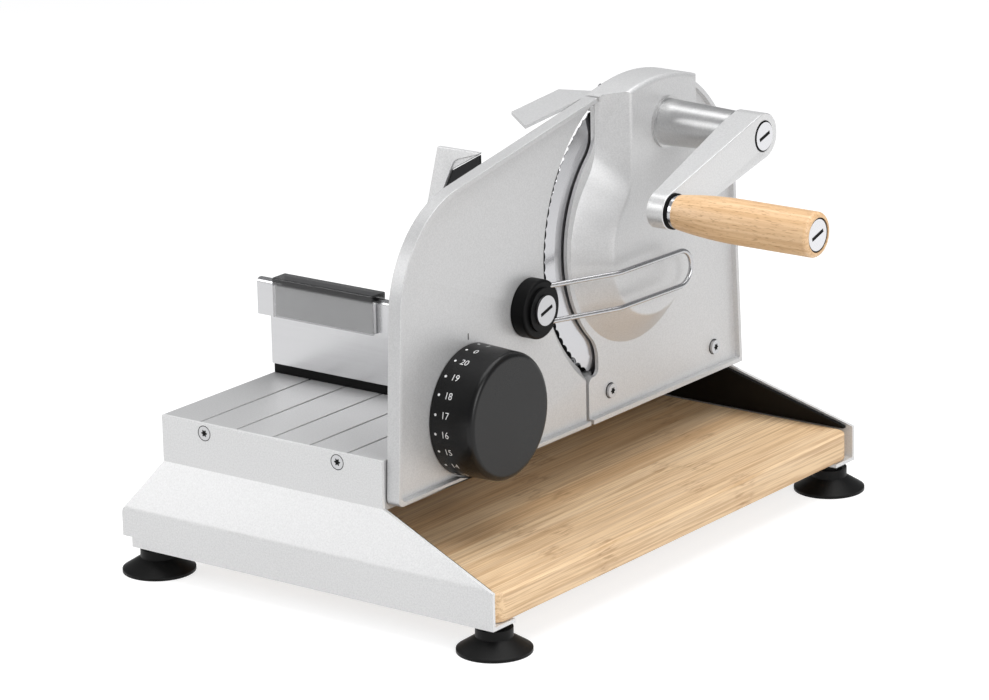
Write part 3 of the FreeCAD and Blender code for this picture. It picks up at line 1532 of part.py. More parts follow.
def thickness_cam():
    """A ring whose back face winds like a screw, so that turning it moves the plate."""
    inner = size("cam_radius") - size("cam_width") / 2
    outer = size("cam_radius") + size("cam_width") / 2
    pitch = size("dial_steps") * size("dial_step_height")
    cam_break = size("cam_break")
    sweep = 360 - cam_break
    height = pitch * sweep / 360
    deep = size("cam_seat") - size("follower_tip") - size("follower_gap")
    # The ramp is wound along Z from its tallest end and then turned onto X
    spine = Part.makeHelix(pitch, height, size("cam_radius"))
    section = Part.makePolygon([
        FreeCAD.Vector(inner, 0, 0),
        FreeCAD.Vector(outer, 0, 0),
        FreeCAD.Vector(outer, 0, height + 2 * deep),
        FreeCAD.Vector(inner, 0, height + 2 * deep),
        FreeCAD.Vector(inner, 0, 0),
    ])
    ramp = Part.Wire(spine.Edges).makePipeShell([section], True, True)
    # The pin meets the ramp at rest half the break before its end
    top = height - pitch * cam_break / 720 + deep
    ramp.rotate(FreeCAD.Vector(), FreeCAD.Vector(0, 0, 1), cam_break / 2 - sweep)
    ramp.rotate(FreeCAD.Vector(), FreeCAD.Vector(0, 1, 0), 90)
    ramp.translate(FreeCAD.Vector(-top, 0, 0))
    ramp = ramp.common(rod_solid(-2 * top, 0, 2 * outer))
    return shaped("cam_form", ramp, "cam_seat", "dial_y", "dial_z")


node("thickness_dial", thickness_dial())
node("thickness_cam", thickness_cam())


# Slice deflector: a wire loop in a turning hub
def corner_arc(before, corner, after, radius):
    """The tangent arc of a given radius at the corner of two straight runs."""
    back = (before - corner).normalize()
    ahead = (after - corner).normalize()
    half = math.acos(max(-1, min(1, back.dot(ahead)))) / 2
    leave = radius / math.tan(half)
    centre = corner + (back + ahead).normalize() * (radius / math.sin(half))
    inward = (corner - centre).normalize() * radius
    return Part.Arc(corner + back * leave, centre + inward, corner + ahead * leave)


def loop_path():
    """The wire's route, measured along Y and Z from the hub's axis."""
    gap = size("wire_half_gap")
    lift = size("wire_lift")
    places = [("wire_root_x", "wire_root"), ("wire_bend_x", "wire_near"), ("wire_end_x", "wire_reach")]
    route = [FreeCAD.Vector(size(x), size(y), lift) for x, y in places]
    apart = FreeCAD.Vector(0, 0, gap)
    edges = []
    for stops in ([spot + apart for spot in route], [spot - apart for spot in reversed(route)]):
        bend = corner_arc(*stops, size("wire_bend_radius"))
        edges += [Part.LineSegment(stops[0], bend.StartPoint), bend,
                  Part.LineSegment(bend.EndPoint, stops[2])]
    heading = (route[2] - route[1]).normalize()
    tip = Part.Arc(route[2] + apart, route[2] + heading * gap, route[2] - apart)
    edges.insert(3, tip)
    return Part.Wire([edge.toShape() for edge in edges])


def deflector_wire():
    path = loop_path()
    first = path.Edges[0]
    start = first.valueAt(first.FirstParameter)
    heading = first.tangentAt(first.FirstParameter)
    radius = size("wire_radius")
    circle = Part.Wire(Part.Circle(start, heading, radius).toShape())
    wire = path.makePipeShell([circle], True, False)
    print("deflector wire", round(wire.Volume, 1), round(path.Length * math.pi * radius ** 2, 1))
    return shaped("deflector_loop", wire, "0", "hub_y", "hub_z")


wire_item = deflector_wire()


def deflector_hub():
    drum = turned("hub_drum", "x", ("hub_y", "hub_z"), [
        ("hub_back", "hub_bolt_radius + bore_play"),
        ("hub_back", "hub_radius"),
        ("hub_front", "hub_radius"),
        ("hub_front", "hub_ring_radius"),
        ("hub_ring_front", "hub_ring_radius"),
        ("hub_ring_front", "hub_bolt_radius + bore_play"),
    ])
    doc.recompute()
    edge = rounded("hub_drum_edge", drum, "hub_edge", rim_of(size("hub_front"), size("hub_radius")))
    return cut("hub", edge, wire_item)


node("deflector_hub", deflector_hub())
node("deflector_wire", wire_item)
cap_height = "hub_cap_front - hub_ring_front - hub_gap"
node("deflector_bolt", slotted_head("deflector_bolt_form", ("hub_y", "hub_z"), "hub_cap_front",
                                    -1, "hub_cap_radius", cap_height, "hub_bolt_radius",
                                    "hub_cap_front - food_face - axle_skin"))


# Carriage: bent sheet tray with its pusher, a rounded top rail, and a gliding frame below
def carriage_tray():
    return prism("tray_profile", "x", [
        ("pusher_y", "tray_floor"),
        ("tray_back", "tray_floor"),
        ("tray_back", "tray_floor + tray_sheet"),
        ("pusher_y + tray_sheet", "tray_floor + tray_sheet"),
        ("pusher_y + tray_sheet", "band_low"),
        ("pusher_y", "band_low"),
    ], "tray_left", "tray_right")


def top_edge(*heights):
    """A test for the edges along X at a height that is the sum of some sizes."""
    level = sum(size(height) for height in heights)
    return lambda edge: runs_along(edge, (1, 0, 0)) and abs(middle(edge).z - level) < 0.01


def carriage_rail():
    """The thick rounded rail along the pusher's top edge."""
    front = "pusher_y - band_depth / 2"
    bar = box("rail_bar", ("band_left", "tray_right - glide_inset"),
              (front, "%s + band_depth" % front), ("band_low", "band_top"))
    return rounded("rail", bar, "band_radius", top_edge("band_top"))


def glide_frame():
    """A black frame under the tray with two ribs that run in the deck's grooves."""
    under = "deck_top + glide_gap"
    outer = box("glide_outer", ("tray_left + glide_inset", "tray_right - glide_inset"),
                ("pusher_y", "tray_back - glide_inset"), (under, "tray_floor"))
    inner = box("glide_inner", ("tray_left + glide_inset + glide_width",
                                "tray_right - glide_inset - glide_width"),
                ("pusher_y + glide_width", "tray_back - glide_inset - glide_width"),
                (under + BEFORE, "tray_floor" + BEYOND))
    frame = cut("glide_open", outer, inner)
    ribs = []
    for index in (0, int(size("groove_count")) - 1):
        middle_x = "first_groove + %d * groove_pitch" % index
        half = "(groove_width / 2 - glide_rib_play)"
        sides = ("%s - %s" % (middle_x, half), "%s + %s" % (middle_x, half))
        ribs.append(box("glide_rib_%d" % index, sides, ("pusher_y", "tray_back - glide_inset"),
                        ("deck_top - groove_depth / 2", under)))
    return fuse("glide", frame, *ribs)


def thumb_guard():
    """A clear clip around the rail's front, top and part of its back."""
    front = "pusher_y - band_depth / 2 - guard_reach"
    back = "pusher_y + band_depth / 2 + guard_play"
    clip = box("guard_outer", ("guard_left", "guard_right"), (front, back + " + guard_sheet"),
               ("guard_low", "band_top + guard_rise"))
    soft = rounded("guard_soft", clip, "guard_edge", top_edge("band_top", "guard_rise"))
    inside = box("guard_inside", ("guard_left" + BEFORE, "guard_right" + BEYOND),
                 (front + " + guard_sheet", back),
                 ("guard_low" + BEFORE, "band_top + guard_rise - guard_sheet"))
    return cut("guard", soft, inside)


def guard_holder():
    """The dark bar between rail and clear guard that the guard snaps onto."""
    front = "pusher_y - band_depth / 2"
    return box("guard_bar", ("guard_left", "guard_right"),
               ("%s - guard_reach + guard_sheet + guard_play" % front, front),
               ("guard_low", "band_top - guard_sheet"))


node("carriage_tray", carriage_tray())
node("carriage_rail", carriage_rail())
node("carriage_glide", glide_frame())
node("thumb_guard", thumb_guard())
node("thumb_guard_bar", guard_holder())


# Remnant holder: a leaning wall whose front cheek ends in a hooked tip, with a black
# hollow pad before it, standing on the tray
HOLDER_FOOT = "tray_floor + tray_sheet + holder_play"
HOLDER_FOOT_X = "holder_side - (holder_shoulder - (%s)) * tan(holder_lean)" % HOLDER_FOOT
HOLDER_RISE = "(holder_top_left - holder_side) / (holder_top - holder_shoulder)"
HOLDER_TOP_X = "holder_side + (holder_body_top - holder_shoulder) * %s" % HOLDER_RISE


def cheek(name, hook, start, end):
    """The wall's front end up to the full height, with the hook's underside given."""
    return prism(name, "y", [
        (HOLDER_FOOT_X, HOLDER_FOOT),
        ("holder_side", "holder_shoulder"),
        ("holder_top_left", "holder_top"),
        ("holder_top_right", "holder_top"),
        ("holder_top_right", "holder_top - holder_tip"),
    ] + hook + [
        ("holder_chord_x", "holder_chord_z"),
        (HOLDER_TOP_X + " + holder_wall", "holder_body_top"),
        (HOLDER_FOOT_X + " + holder_wall", HOLDER_FOOT),
    ], start, end)


def holder_shell():
    wall = prism("holder_wall_form", "y", [
        (HOLDER_FOOT_X, HOLDER_FOOT),
        ("holder_side", "holder_shoulder"),
        (HOLDER_TOP_X, "holder_body_top"),
        (HOLDER_TOP_X + " + holder_wall", "holder_body_top"),
        (HOLDER_FOOT_X + " + holder_wall", HOLDER_FOOT),
    ], "holder_front", "holder_back")
    groove = "holder_front + holder_groove"
    face = cheek("cheek_face", [("holder_hook_x", "holder_hook_z")], "holder_front", groove)
    doc.recompute()
    hook = (size("holder_hook_x") - size("origin_x"), size("holder_hook_z"))
    at_hook = lambda e: runs_along(e, (0, 1, 0)) and abs(middle(e).x - hook[0]) < 0.1 and (
        abs(middle(e).z - hook[1]) < 0.1)
    soft_face = rounded("cheek_soft", face, "holder_hook_radius", at_hook)
    back = cheek("cheek_back", [], groove, "holder_front + holder_cheek")
    return fuse("holder", wall, soft_face, back)


def holder_pad():
    """Black pad, open below, with a horn under the hook and spikes for the last of the food."""
    foot = HOLDER_FOOT + " + holder_play"
    inner = HOLDER_FOOT_X + " + holder_wall + pad_gap"
    inner_top = HOLDER_TOP_X + " + holder_wall + pad_gap"
    front = "holder_front + holder_groove"
    block = prism("pad_block", "y", [
        (inner, foot),
        ("pad_face", foot),
        ("pad_face", "pad_top"),
        (inner_top, "pad_top"),
        ("holder_side + holder_wall + pad_gap", "holder_shoulder"),
    ], front, "holder_back")
    hollow = prism("pad_hollow", "y", [
        (inner + " + pad_wall", foot + BEFORE),
        ("pad_face - pad_wall", foot + BEFORE),
        ("pad_face - pad_wall", "pad_top - pad_wall"),
        (inner_top + " + pad_wall", "pad_top - pad_wall"),
        ("holder_side + holder_wall + pad_gap + pad_wall", "holder_shoulder"),
    ], front + " + pad_wall", "holder_back - pad_wall")
    horn = prism("pad_horn", "y", [
        (inner_top, "pad_top - pad_wall"),
        ("pad_face", "pad_top - pad_wall"),
        ("pad_face", "holder_top - holder_tip - 2 * pad_gap"),
        ("holder_chord_x + pad_gap", "holder_chord_z - pad_gap"),
        (inner_top + " + pad_gap", "holder_body_top + pad_gap"),
    ], front, "holder_front + holder_cheek")
    spikes = []
    for row in range(int(size("spike_rows"))):
        for column in range(int(size("spike_columns"))):
            across = "holder_back - spike_inset - %d * spike_pitch" % column
            up = "pad_top - spike_inset - %d * spike_pitch" % row
            spikes.append(cone("spike_%d_%d" % (row, column), "x", (across, up),
                               "pad_face - pad_wall / 2", "pad_face + spike_height",
                               "spike_radius", "spike_tip"))
    return fuse("pad", cut("pad_open", block, hollow), horn, *spikes)


node("holder_shell", holder_shell())
node("holder_pad", holder_pad())

doc.recompute()

bad = []
for item in doc.Objects:
    if "Invalid" in item.State or "Error" in item.State:
        bad.append("%s: %s" % (item.Name, item.State))
for label, item in NODES:
    item.Label = label
    if item.Shape.isNull() or not item.Shape.isValid():
        bad.append("%s: shape is null or not valid" % label)
if bad:
    raise RuntimeError("; ".join(bad))

os.makedirs("parts", exist_ok=True)
for label, item in NODES:
    item.Shape.exportStep("parts/%s.step" % label)
    bounds = item.Shape.optimalBoundingBox(False)
    print("%-24s %2d solids %10.0f mm3  x %7.1f %7.1f  y %7.1f %7.1f  z %6.1f %6.1f" % (
        label, len(item.Shape.Solids), item.Shape.Volume, bounds.XMin, bounds.XMax,
        bounds.YMin, bounds.YMax, bounds.ZMin, bounds.ZMax))
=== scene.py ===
import math

import bmesh
import bpy
from mathutils import Matrix, Vector


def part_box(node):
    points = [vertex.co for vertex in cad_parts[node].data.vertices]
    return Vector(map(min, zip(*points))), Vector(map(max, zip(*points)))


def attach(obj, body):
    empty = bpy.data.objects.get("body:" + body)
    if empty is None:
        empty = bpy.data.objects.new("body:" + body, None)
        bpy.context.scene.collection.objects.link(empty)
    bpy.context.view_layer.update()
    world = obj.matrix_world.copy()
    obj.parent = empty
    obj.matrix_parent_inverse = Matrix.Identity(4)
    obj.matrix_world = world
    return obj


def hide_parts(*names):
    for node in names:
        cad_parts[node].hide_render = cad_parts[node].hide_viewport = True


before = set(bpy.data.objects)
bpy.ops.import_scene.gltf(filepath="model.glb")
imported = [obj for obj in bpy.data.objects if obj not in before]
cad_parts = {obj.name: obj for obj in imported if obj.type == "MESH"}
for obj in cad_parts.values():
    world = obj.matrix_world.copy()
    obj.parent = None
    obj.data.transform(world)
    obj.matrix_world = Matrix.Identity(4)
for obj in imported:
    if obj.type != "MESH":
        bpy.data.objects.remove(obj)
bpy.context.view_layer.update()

# Hand-cranked food slicer, in metres: X to the side where the slices fall, Y along the
# carriage's travel, Z up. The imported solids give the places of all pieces.

MM = 0.001


def middle_of(node):
    low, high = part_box(node)
    return (low + high) / 2


# Places that the pieces share
FOOT_SPREAD_X = 113.4 * MM
SHIFT_X = middle_of("suction_foot_front_right").x - FOOT_SPREAD_X
CRANK_AXIS = middle_of("crank_shaft")
BLADE_AXIS = middle_of("slicing_blade")
DIAL_AXIS = middle_of("thickness_dial")
GRIP_AXIS = middle_of("handle_grip")
HUB_AXIS = middle_of("deflector_hub")


def at_x(millimetres):
    """A place along X that is measured from the middle of the four feet."""
    return millimetres * MM + SHIFT_X


# Shader maths
class Value:
    """A node's output socket that can be used in sums."""

    def __init__(self, paint, socket):
        self.paint = paint
        self.socket = socket

    def join(self, operation, other, swap=False):
        first, second = (other, self) if swap else (self, other)
        return self.paint.node("ShaderNodeMath", {"operation": operation}, {0: first, 1: second})

    def __add__(self, other):
        return self.join("ADD", other)

    def __radd__(self, other):
        return self.join("ADD", other, True)

    def __sub__(self, other):
        return self.join("SUBTRACT", other)

    def __rsub__(self, other):
        return self.join("SUBTRACT", other, True)

    def __mul__(self, other):
        return self.join("MULTIPLY", other)

    def __rmul__(self, other):
        return self.join("MULTIPLY", other, True)

    def __truediv__(self, other):
        return self.join("DIVIDE", other)

    def __rtruediv__(self, other):
        return self.join("DIVIDE", other, True)

    def __pow__(self, other):
        return self.join("POWER", other)

    def remainder(self, length):
        return self.join("FLOORED_MODULO", length)

    def whole(self):
        return self.paint.node("ShaderNodeMath", {"operation": "FLOOR"}, {0: self})

    def smooth(self, low, high):
        """0 below low, 1 above high and a soft step between them."""
        return self.paint.node("ShaderNodeMapRange", {"interpolation_type": "SMOOTHSTEP"},
                               {"Value": self, "From Min": low, "From Max": high})

    def between(self, low, high, edge):
        """1 between low and high, with soft edges."""
        return self.smooth(low - edge, low) * (1 - self.smooth(high, high + edge))


class Paint:
    """A material that is put together from nodes."""

    def __init__(self, name):
        self.material = bpy.data.materials.new(name)
        self.material.use_nodes = True
        self.tree = self.material.node_tree
        self.tree.nodes.clear()
        self.output = self.tree.nodes.new("ShaderNodeOutputMaterial")

    def node(self, kind, settings=None, sockets=None, out=0):
        item = self.tree.nodes.new(kind)
        for name, value in (settings or {}).items():
            setattr(item, name, value)
        for name, value in (sockets or {}).items():
            self.feed(item.inputs[name], value)
        return Value(self, item.outputs[out])

    def feed(self, target, value):
        if isinstance(value, Value):
            self.tree.links.new(value.socket, target)
        elif isinstance(value, tuple) and target.type == "RGBA":
            target.default_value = (*value, 1)
        else:
            target.default_value = value

    def place(self):
        return self.node("ShaderNodeTexCoord", out="Object")

    def axes(self):
        """The three coordinates of a place on the piece."""
        split = self.tree.nodes.new("ShaderNodeSeparateXYZ")
        self.feed(split.inputs[0], self.place())
        return [Value(self, output) for output in split.outputs]

    def vector(self, x, y, z):
        return self.node("ShaderNodeCombineXYZ", None, {0: x, 1: y, 2: z})

    def noise(self, vector, scale, detail=3, roughness=0.5, distortion=0):
        return self.node("ShaderNodeTexNoise", None, {
            "Vector": vector, "Scale": scale, "Detail": detail,
            "Roughness": roughness, "Distortion": distortion})

    def blend(self, factor, first, second):
        """A colour between two colours."""
        mixed = self.tree.nodes.new("ShaderNodeMix")
        mixed.data_type = "RGBA"
        self.feed(mixed.inputs[0], factor)
        self.feed(mixed.inputs[6], first)
        self.feed(mixed.inputs[7], second)
        return Value(self, mixed.outputs[2])

    def bump(self, height, distance, strength):
        return self.node("ShaderNodeBump", None, {
            "Height": height, "Distance": distance, "Strength": strength})

    def surface(self, **sockets):
        shader = self.tree.nodes.new("ShaderNodeBsdfPrincipled")
        for name, value in sockets.items():
            self.feed(shader.inputs[name.replace("_", " ")], value)
        self.tree.links.new(shader.outputs[0], self.output.inputs[0])
        return self.material


# Materials
def cast_aluminium(name, colour, grain, roughness, metal):
    """Light grey satin finish with a fine sparkle and slight clouding."""
    paint = Paint(name)
    place = paint.place()
    clouds = paint.noise(place, 9, 2)
    fine = paint.noise(place, 1100, 3, 0.75)
    speckle = fine.smooth(0.3, 0.7)
    darker = tuple(channel * 0.8 for channel in colour)
    base = paint.blend(clouds * 0.3 + speckle * 0.7, darker, colour)
    rough = roughness + (fine - 0.5) * 0.2 + (clouds - 0.5) * 0.06
    relief = paint.bump(speckle, 0.00003, grain)
    return paint.surface(Base_Color=base, Metallic=metal, Roughness=rough, Normal=relief)


def brushed_steel(name, colour, along="x", roughness=0.24):
    """Stainless sheet with fine lines along one direction."""
    paint = Paint(name)
    x, y, z = paint.axes()
    stretch = {"x": (12, 900, 900), "y": (900, 12, 900)}[along]
    lines = paint.noise(paint.vector(x * stretch[0], y * stretch[1], z * stretch[2]), 1, 3, 0.6)
    smears = paint.noise(paint.place(), 14, 3)
    base = paint.blend(lines, tuple(channel * 0.88 for channel in colour), colour)
    rough = roughness + (lines - 0.5) * 0.16 + (smears - 0.5) * 0.05
    relief = paint.bump(lines, 0.00002, 0.25)
    return paint.surface(Base_Color=base, Metallic=1.0, Roughness=rough, Normal=relief)


def turned_steel(name, colour, centre, roughness):
    """Steel with fine rings about an axis along X."""
    paint = Paint(name)
    y, z = paint.axes()[1:]
    across = y - centre.y
    up = z - centre.z
    radius = (across * across + up * up) ** 0.5
    rings = paint.noise(paint.vector(radius * 1500, 0, 0), 1, 3, 0.7)
    smears = paint.noise(paint.place(), 20, 2)
    base = paint.blend(rings, tuple(channel * 0.9 for channel in colour), colour)
    rough = roughness + (rings - 0.5) * 0.14 + (smears - 0.5) * 0.05
    return paint.surface(Base_Color=base, Metallic=1.0, Roughness=rough,
                         Normal=paint.bump(rings, 0.00001, 0.4))


def moulded_plastic(name, colour, roughness, grain=0.5, gloss=0.25):
    """Plastic with the fine texture of a spark-eroded mould."""
    paint = Paint(name)
    place = paint.place()
    pits = paint.noise(place, 2200, 3, 0.6)
    wear = paint.noise(place, 35, 3)
    lighter = tuple(channel * 1.9 for channel in colour)
    base = paint.blend(pits * 0.4 + wear * 0.2, colour, lighter)
    rough = roughness + (pits - 0.5) * 0.15 + (wear - 0.5) * 0.1
    return paint.surface(Base_Color=base, Roughness=rough, Specular_IOR_Level=gloss,
                         Normal=paint.bump(pits, 0.00004, grain))


def soft_rubber(name):
    """Matt black rubber with a faint bloom."""
    paint = Paint(name)
    place = paint.place()
    bloom = paint.noise(place, 60, 4, 0.6)
    pits = paint.noise(place, 1500, 2)
    base = paint.blend(bloom, (0.003, 0.003, 0.003), (0.008, 0.008, 0.008))
    return paint.surface(Base_Color=base, Roughness=0.45 + (bloom - 0.5) * 0.2,
                         Specular_IOR_Level=0.14, Normal=paint.bump(pits, 0.00005, 0.4))


STRIP_WIDTH = 0.0165
STRIPS_START = 0.31
KNOT_SPACING = 0.13


def bamboo():
    """Glued bamboo strips along Y with fine fibres and mottled rows where the knots were."""
    paint = Paint("bamboo_board")
    x, y, z = paint.axes()
    lane = (x + STRIPS_START) / STRIP_WIDTH
    strip = lane.whole()
    inside = lane - strip
    strip_tone = paint.node("ShaderNodeTexWhiteNoise", {"noise_dimensions": "1D"}, {"W": strip})
    shifted_y = y + strip_tone * 3.7
    fibre = paint.noise(paint.vector(x * 950, shifted_y * 14, z * 950), 1, 4, 0.65)
    bundle = paint.noise(paint.vector(x * 420, shifted_y * 8, z * 420), 1, 4, 0.7)
    broad = paint.noise(paint.vector(x * 150, shifted_y * 7, z * 150), 1, 3, 0.6)
    dashes = paint.noise(paint.vector(x * 700, shifted_y * 95, z * 700), 1, 2)
    knot_row = (shifted_y / KNOT_SPACING).remainder(1)
    wobble = paint.noise(paint.vector(x * 90, strip, 0), 1, 2)
    knot = (knot_row + (wobble - 0.5) * 0.12).between(0.44, 0.52, 0.05) * dashes.smooth(0.45, 0.7)
    seam = 1 - inside.between(0.02, 0.98, 0.02)
    pale = paint.blend(strip_tone, (0.93, 0.69, 0.43), (0.79, 0.52, 0.28))
    streaked = paint.blend(bundle.smooth(0.48, 0.6) * 0.5, pale, (0.5, 0.28, 0.12))
    lined = paint.blend(fibre.smooth(0.42, 0.62) * 0.5, streaked, (0.5, 0.29, 0.14))
    shaded = paint.blend(broad.smooth(0.4, 0.8) * 0.4, lined, (0.97, 0.77, 0.54))
    knotted = paint.blend(knot * 0.55, shaded, (0.4, 0.21, 0.09))
    base = paint.blend(seam * 0.25, knotted, (0.42, 0.24, 0.12))
    height = fibre * 0.5 + (1 - seam) * 0.5
    return paint.surface(Base_Color=base, Roughness=0.5 + (fibre - 0.5) * 0.18,
                         Normal=paint.bump(height, 0.00006, 0.45))


def beech():
    """Lacquered beech turned along X, with fine grain lines and short dark flecks."""
    paint = Paint("beech_grip")
    x, y, z = paint.axes()
    growth = paint.noise(paint.vector(x * 10, y * 420, z * 420), 1, 3, 0.6, 0.4)
    fleck = paint.noise(paint.vector(x * 230, y * 1900, z * 1900), 1, 2, 0.5)
    broad = paint.noise(paint.vector(x * 14, y * 40, z * 40), 1, 2)
    light = paint.blend(growth.smooth(0.4, 0.62), (0.82, 0.55, 0.31), (0.68, 0.42, 0.21))
    toned = paint.blend(broad * 0.3, light, (0.86, 0.61, 0.37))
    base = paint.blend(fleck.smooth(0.56, 0.68) * 0.6, toned, (0.42, 0.21, 0.09))
    return paint.surface(Base_Color=base, Roughness=0.4 + (fleck - 0.5) * 0.12,
                         Normal=paint.bump(fleck, 0.00005, 0.35), Coat_Weight=0.1, Coat_Roughness=0.25)


FOLD_LOW = 141 * MM
FOLD_HIGH = 143 * MM


def smoky_clear():
    """Clear smoky plastic with faint flow marks, darker above its fold."""
    paint = Paint("smoky_clear_plastic")
    z = paint.axes()[2]
    flow = paint.noise(paint.place(), 40, 2)
    fold = z.smooth(FOLD_LOW, FOLD_HIGH)
    body = paint.blend(flow, (0.3, 0.3, 0.302), (0.38, 0.38, 0.383))
    base = paint.blend(fold, body, (0.03, 0.03, 0.031))
    return paint.surface(Base_Color=base, Roughness=0.08 + flow * 0.08,
                         Alpha=0.3 + flow * 0.05 + fold * 0.5, IOR=1.49)


def bearing_plastic():
    """Cream slide-bearing plastic with a dull machined look."""
    paint = Paint("bearing_plastic")
    marks = paint.noise(paint.place(), 400, 3)
    base = paint.blend(marks, (0.62, 0.6, 0.54), (0.72, 0.7, 0.64))
    return paint.surface(Base_Color=base, Roughness=0.45 + (marks - 0.5) * 0.2,
                         Normal=paint.bump(marks, 0.00004, 0.3))


def white_marks():
    """White ink for the dial's plain numbers."""
    paint = Paint("white_marks")
    grain = paint.noise(paint.place(), 900, 2)
    base = paint.blend(grain, (0.78, 0.78, 0.78), (0.9, 0.9, 0.9))
    return paint.surface(Base_Color=base, Roughness=0.5 + (grain - 0.5) * 0.1)


def dark_marks():
    """Dark print for the pointer line above the dial."""
    paint = Paint("dark_marks")
    grain = paint.noise(paint.place(), 900, 2)
    base = paint.blend(grain, (0.03, 0.03, 0.035), (0.06, 0.06, 0.065))
    return paint.surface(Base_Color=base, Roughness=0.5 + (grain - 0.5) * 0.1)


WALL_METAL = cast_aluminium("wall_metal", (0.69, 0.69, 0.692), 0.6, 0.44, 0.4)
PLATE_METAL = cast_aluminium("plate_metal", (0.65, 0.65, 0.652), 0.6, 0.42, 0.4)
DECK_METAL = cast_aluminium("deck_metal", (0.57, 0.57, 0.572), 0.4, 0.46, 0.3)
BRACKET_METAL = cast_aluminium("bracket_metal", (0.84, 0.84, 0.84), 0.12, 0.42, 0.25)
CRANK_METAL = cast_aluminium("crank_metal", (0.8, 0.8, 0.8), 0.5, 0.36, 0.55)
TUBE_METAL = cast_aluminium("tube_metal", (0.62, 0.62, 0.62), 0.25, 0.34, 0.9)
HOLDER_METAL = cast_aluminium("holder_metal", (0.84, 0.84, 0.84), 0.4, 0.35, 0.4)
SHEET_STEEL = brushed_steel("sheet_steel", (0.58, 0.58, 0.59))
ROD_STEEL = brushed_steel("rod_steel", (0.66, 0.66, 0.67), "x", 0.18)
WIRE_STEEL = brushed_steel("wire_steel", (0.52, 0.52, 0.53), "y", 0.25)
SCREW_STEEL = turned_steel("screw_steel", (0.55, 0.55, 0.56), CRANK_AXIS, 0.3)
BLADE_STEEL = turned_steel("blade_steel", (0.56, 0.56, 0.575), BLADE_AXIS, 0.2)
CAP_STEEL = turned_steel("cap_steel", (0.78, 0.78, 0.8), CRANK_AXIS, 0.2)
GRIP_STEEL = turned_steel("grip_steel", (0.78, 0.78, 0.8), GRIP_AXIS, 0.2)
BLACK_PLASTIC = moulded_plastic("black_plastic", (0.003, 0.003, 0.0032), 0.45, 0.4, 0.1)
BLACK_PAD = moulded_plastic("black_pad", (0.008, 0.008, 0.009), 0.5)
DIAL_BLACK = moulded_plastic("dial_black", (0.003, 0.003, 0.0032), 0.3, 0.25, 0.3)
SMOKY_BAR = moulded_plastic("smoky_bar", (0.8, 0.8, 0.805), 0.3, 0.2, 0.5)
# Painted shade: a black that stands for the shade in the screw recesses, in the gaps around screw heads
# and caps, and in the coin slots
PAINTED_SHADE_BLACK = moulded_plastic("painted_shade_black", (0.004, 0.004, 0.004), 0.6, 0.2, 0.1)
BLACK_RUBBER = soft_rubber("black_rubber")
BAMBOO = bamboo()
BEECH = beech()
CLEAR = smoky_clear()
BEARING = bearing_plastic()
WHITE_MARKS = white_marks()
DARK_MARKS = dark_marks()

NODE_FINISH = {
    WALL_METAL: ["main_housing", "guard_shelf"],
    PLATE_METAL: ["stop_plate"],
    DECK_METAL: ["base_deck"],
    BRACKET_METAL: ["foot_bracket_front", "foot_bracket_rear"],
    CRANK_METAL: ["crank_arm"],
    TUBE_METAL: ["crank_tube"],
    HOLDER_METAL: ["holder_shell"],
    SHEET_STEEL: ["carriage_tray", "carriage_rail"],
    ROD_STEEL: ["guide_rod_front", "guide_rod_rear", "guide_collar_front", "guide_collar_rear",
                "dial_axle", "cam_follower_pin", "crank_shaft", "gear_pin", "blade_axle"],
    WIRE_STEEL: ["deflector_wire"],
    SCREW_STEEL: ["foot_screws", "bracket_screws_front", "bracket_screws_rear", "housing_screws",
                  "shelf_screws", "gear_screws", "deflector_bolt"],
    BLADE_STEEL: ["slicing_blade", "blade_lock_screw"],
    CAP_STEEL: ["arm_cap"],
    GRIP_STEEL: ["grip_ferrule", "handle_bolt"],
    BLACK_PLASTIC: ["bracket_lining_front", "bracket_lining_rear", "deflector_hub",
                    "carriage_glide", "crank_washer", "grip_washer"],
    DIAL_BLACK: ["thickness_dial"],
    SMOKY_BAR: ["thumb_guard_bar"],
    BLACK_PAD: ["holder_pad"],
    BLACK_RUBBER: ["suction_foot_front_left", "suction_foot_front_right",
                   "suction_foot_rear_left", "suction_foot_rear_right"],
    BAMBOO: ["serving_board"],
    BEECH: ["handle_grip"],
    CLEAR: ["thumb_guard"],
    BEARING: ["guide_bush_front", "guide_bush_rear", "blade_bush", "crank_bush_inner",
              "crank_bush_outer", "crank_gear", "blade_gear", "thickness_cam", "grip_sleeve"],
}
for finish, names in NODE_FINISH.items():
    for name in names:
        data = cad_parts[name].data
        data.materials.clear()
        data.materials.append(finish)


def new_piece(name, mesh, finish, body):
    piece = bpy.data.objects.new(name, mesh)
    bpy.context.scene.collection.objects.link(piece)
    mesh.materials.clear()
    mesh.materials.append(finish)
    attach(piece, body)
    return piece


WELD = 0.000002
FLAT_ANGLE = math.radians(0.5)
SHARP_ANGLE = math.radians(32)


def edged(node, name, finish, body, width, segments):
    """A copy of a solid with its sharp edges rounded, which stands for the solid."""
    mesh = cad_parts[node].data.copy()
    mesh.name = name
    shape = bmesh.new()
    shape.from_mesh(mesh)
    bmesh.ops.remove_doubles(shape, verts=shape.verts, dist=WELD)
    bmesh.ops.dissolve_limit(shape, angle_limit=FLAT_ANGLE, verts=shape.verts, edges=shape.edges)
    shape.to_mesh(mesh)
    shape.free()
    piece = new_piece(name, mesh, finish, body)
    bevel = piece.modifiers.new("edges", "BEVEL")
    bevel.width = width
    bevel.segments = segments
    bevel.limit_method = "ANGLE"
    bevel.angle_limit = SHARP_ANGLE
    bevel.harden_normals = True
    bevel.use_clamp_overlap = True
    for polygon in mesh.polygons:
        polygon.use_smooth = True
    mesh.set_sharp_from_angle(angle=SHARP_ANGLE)
    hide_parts(node)


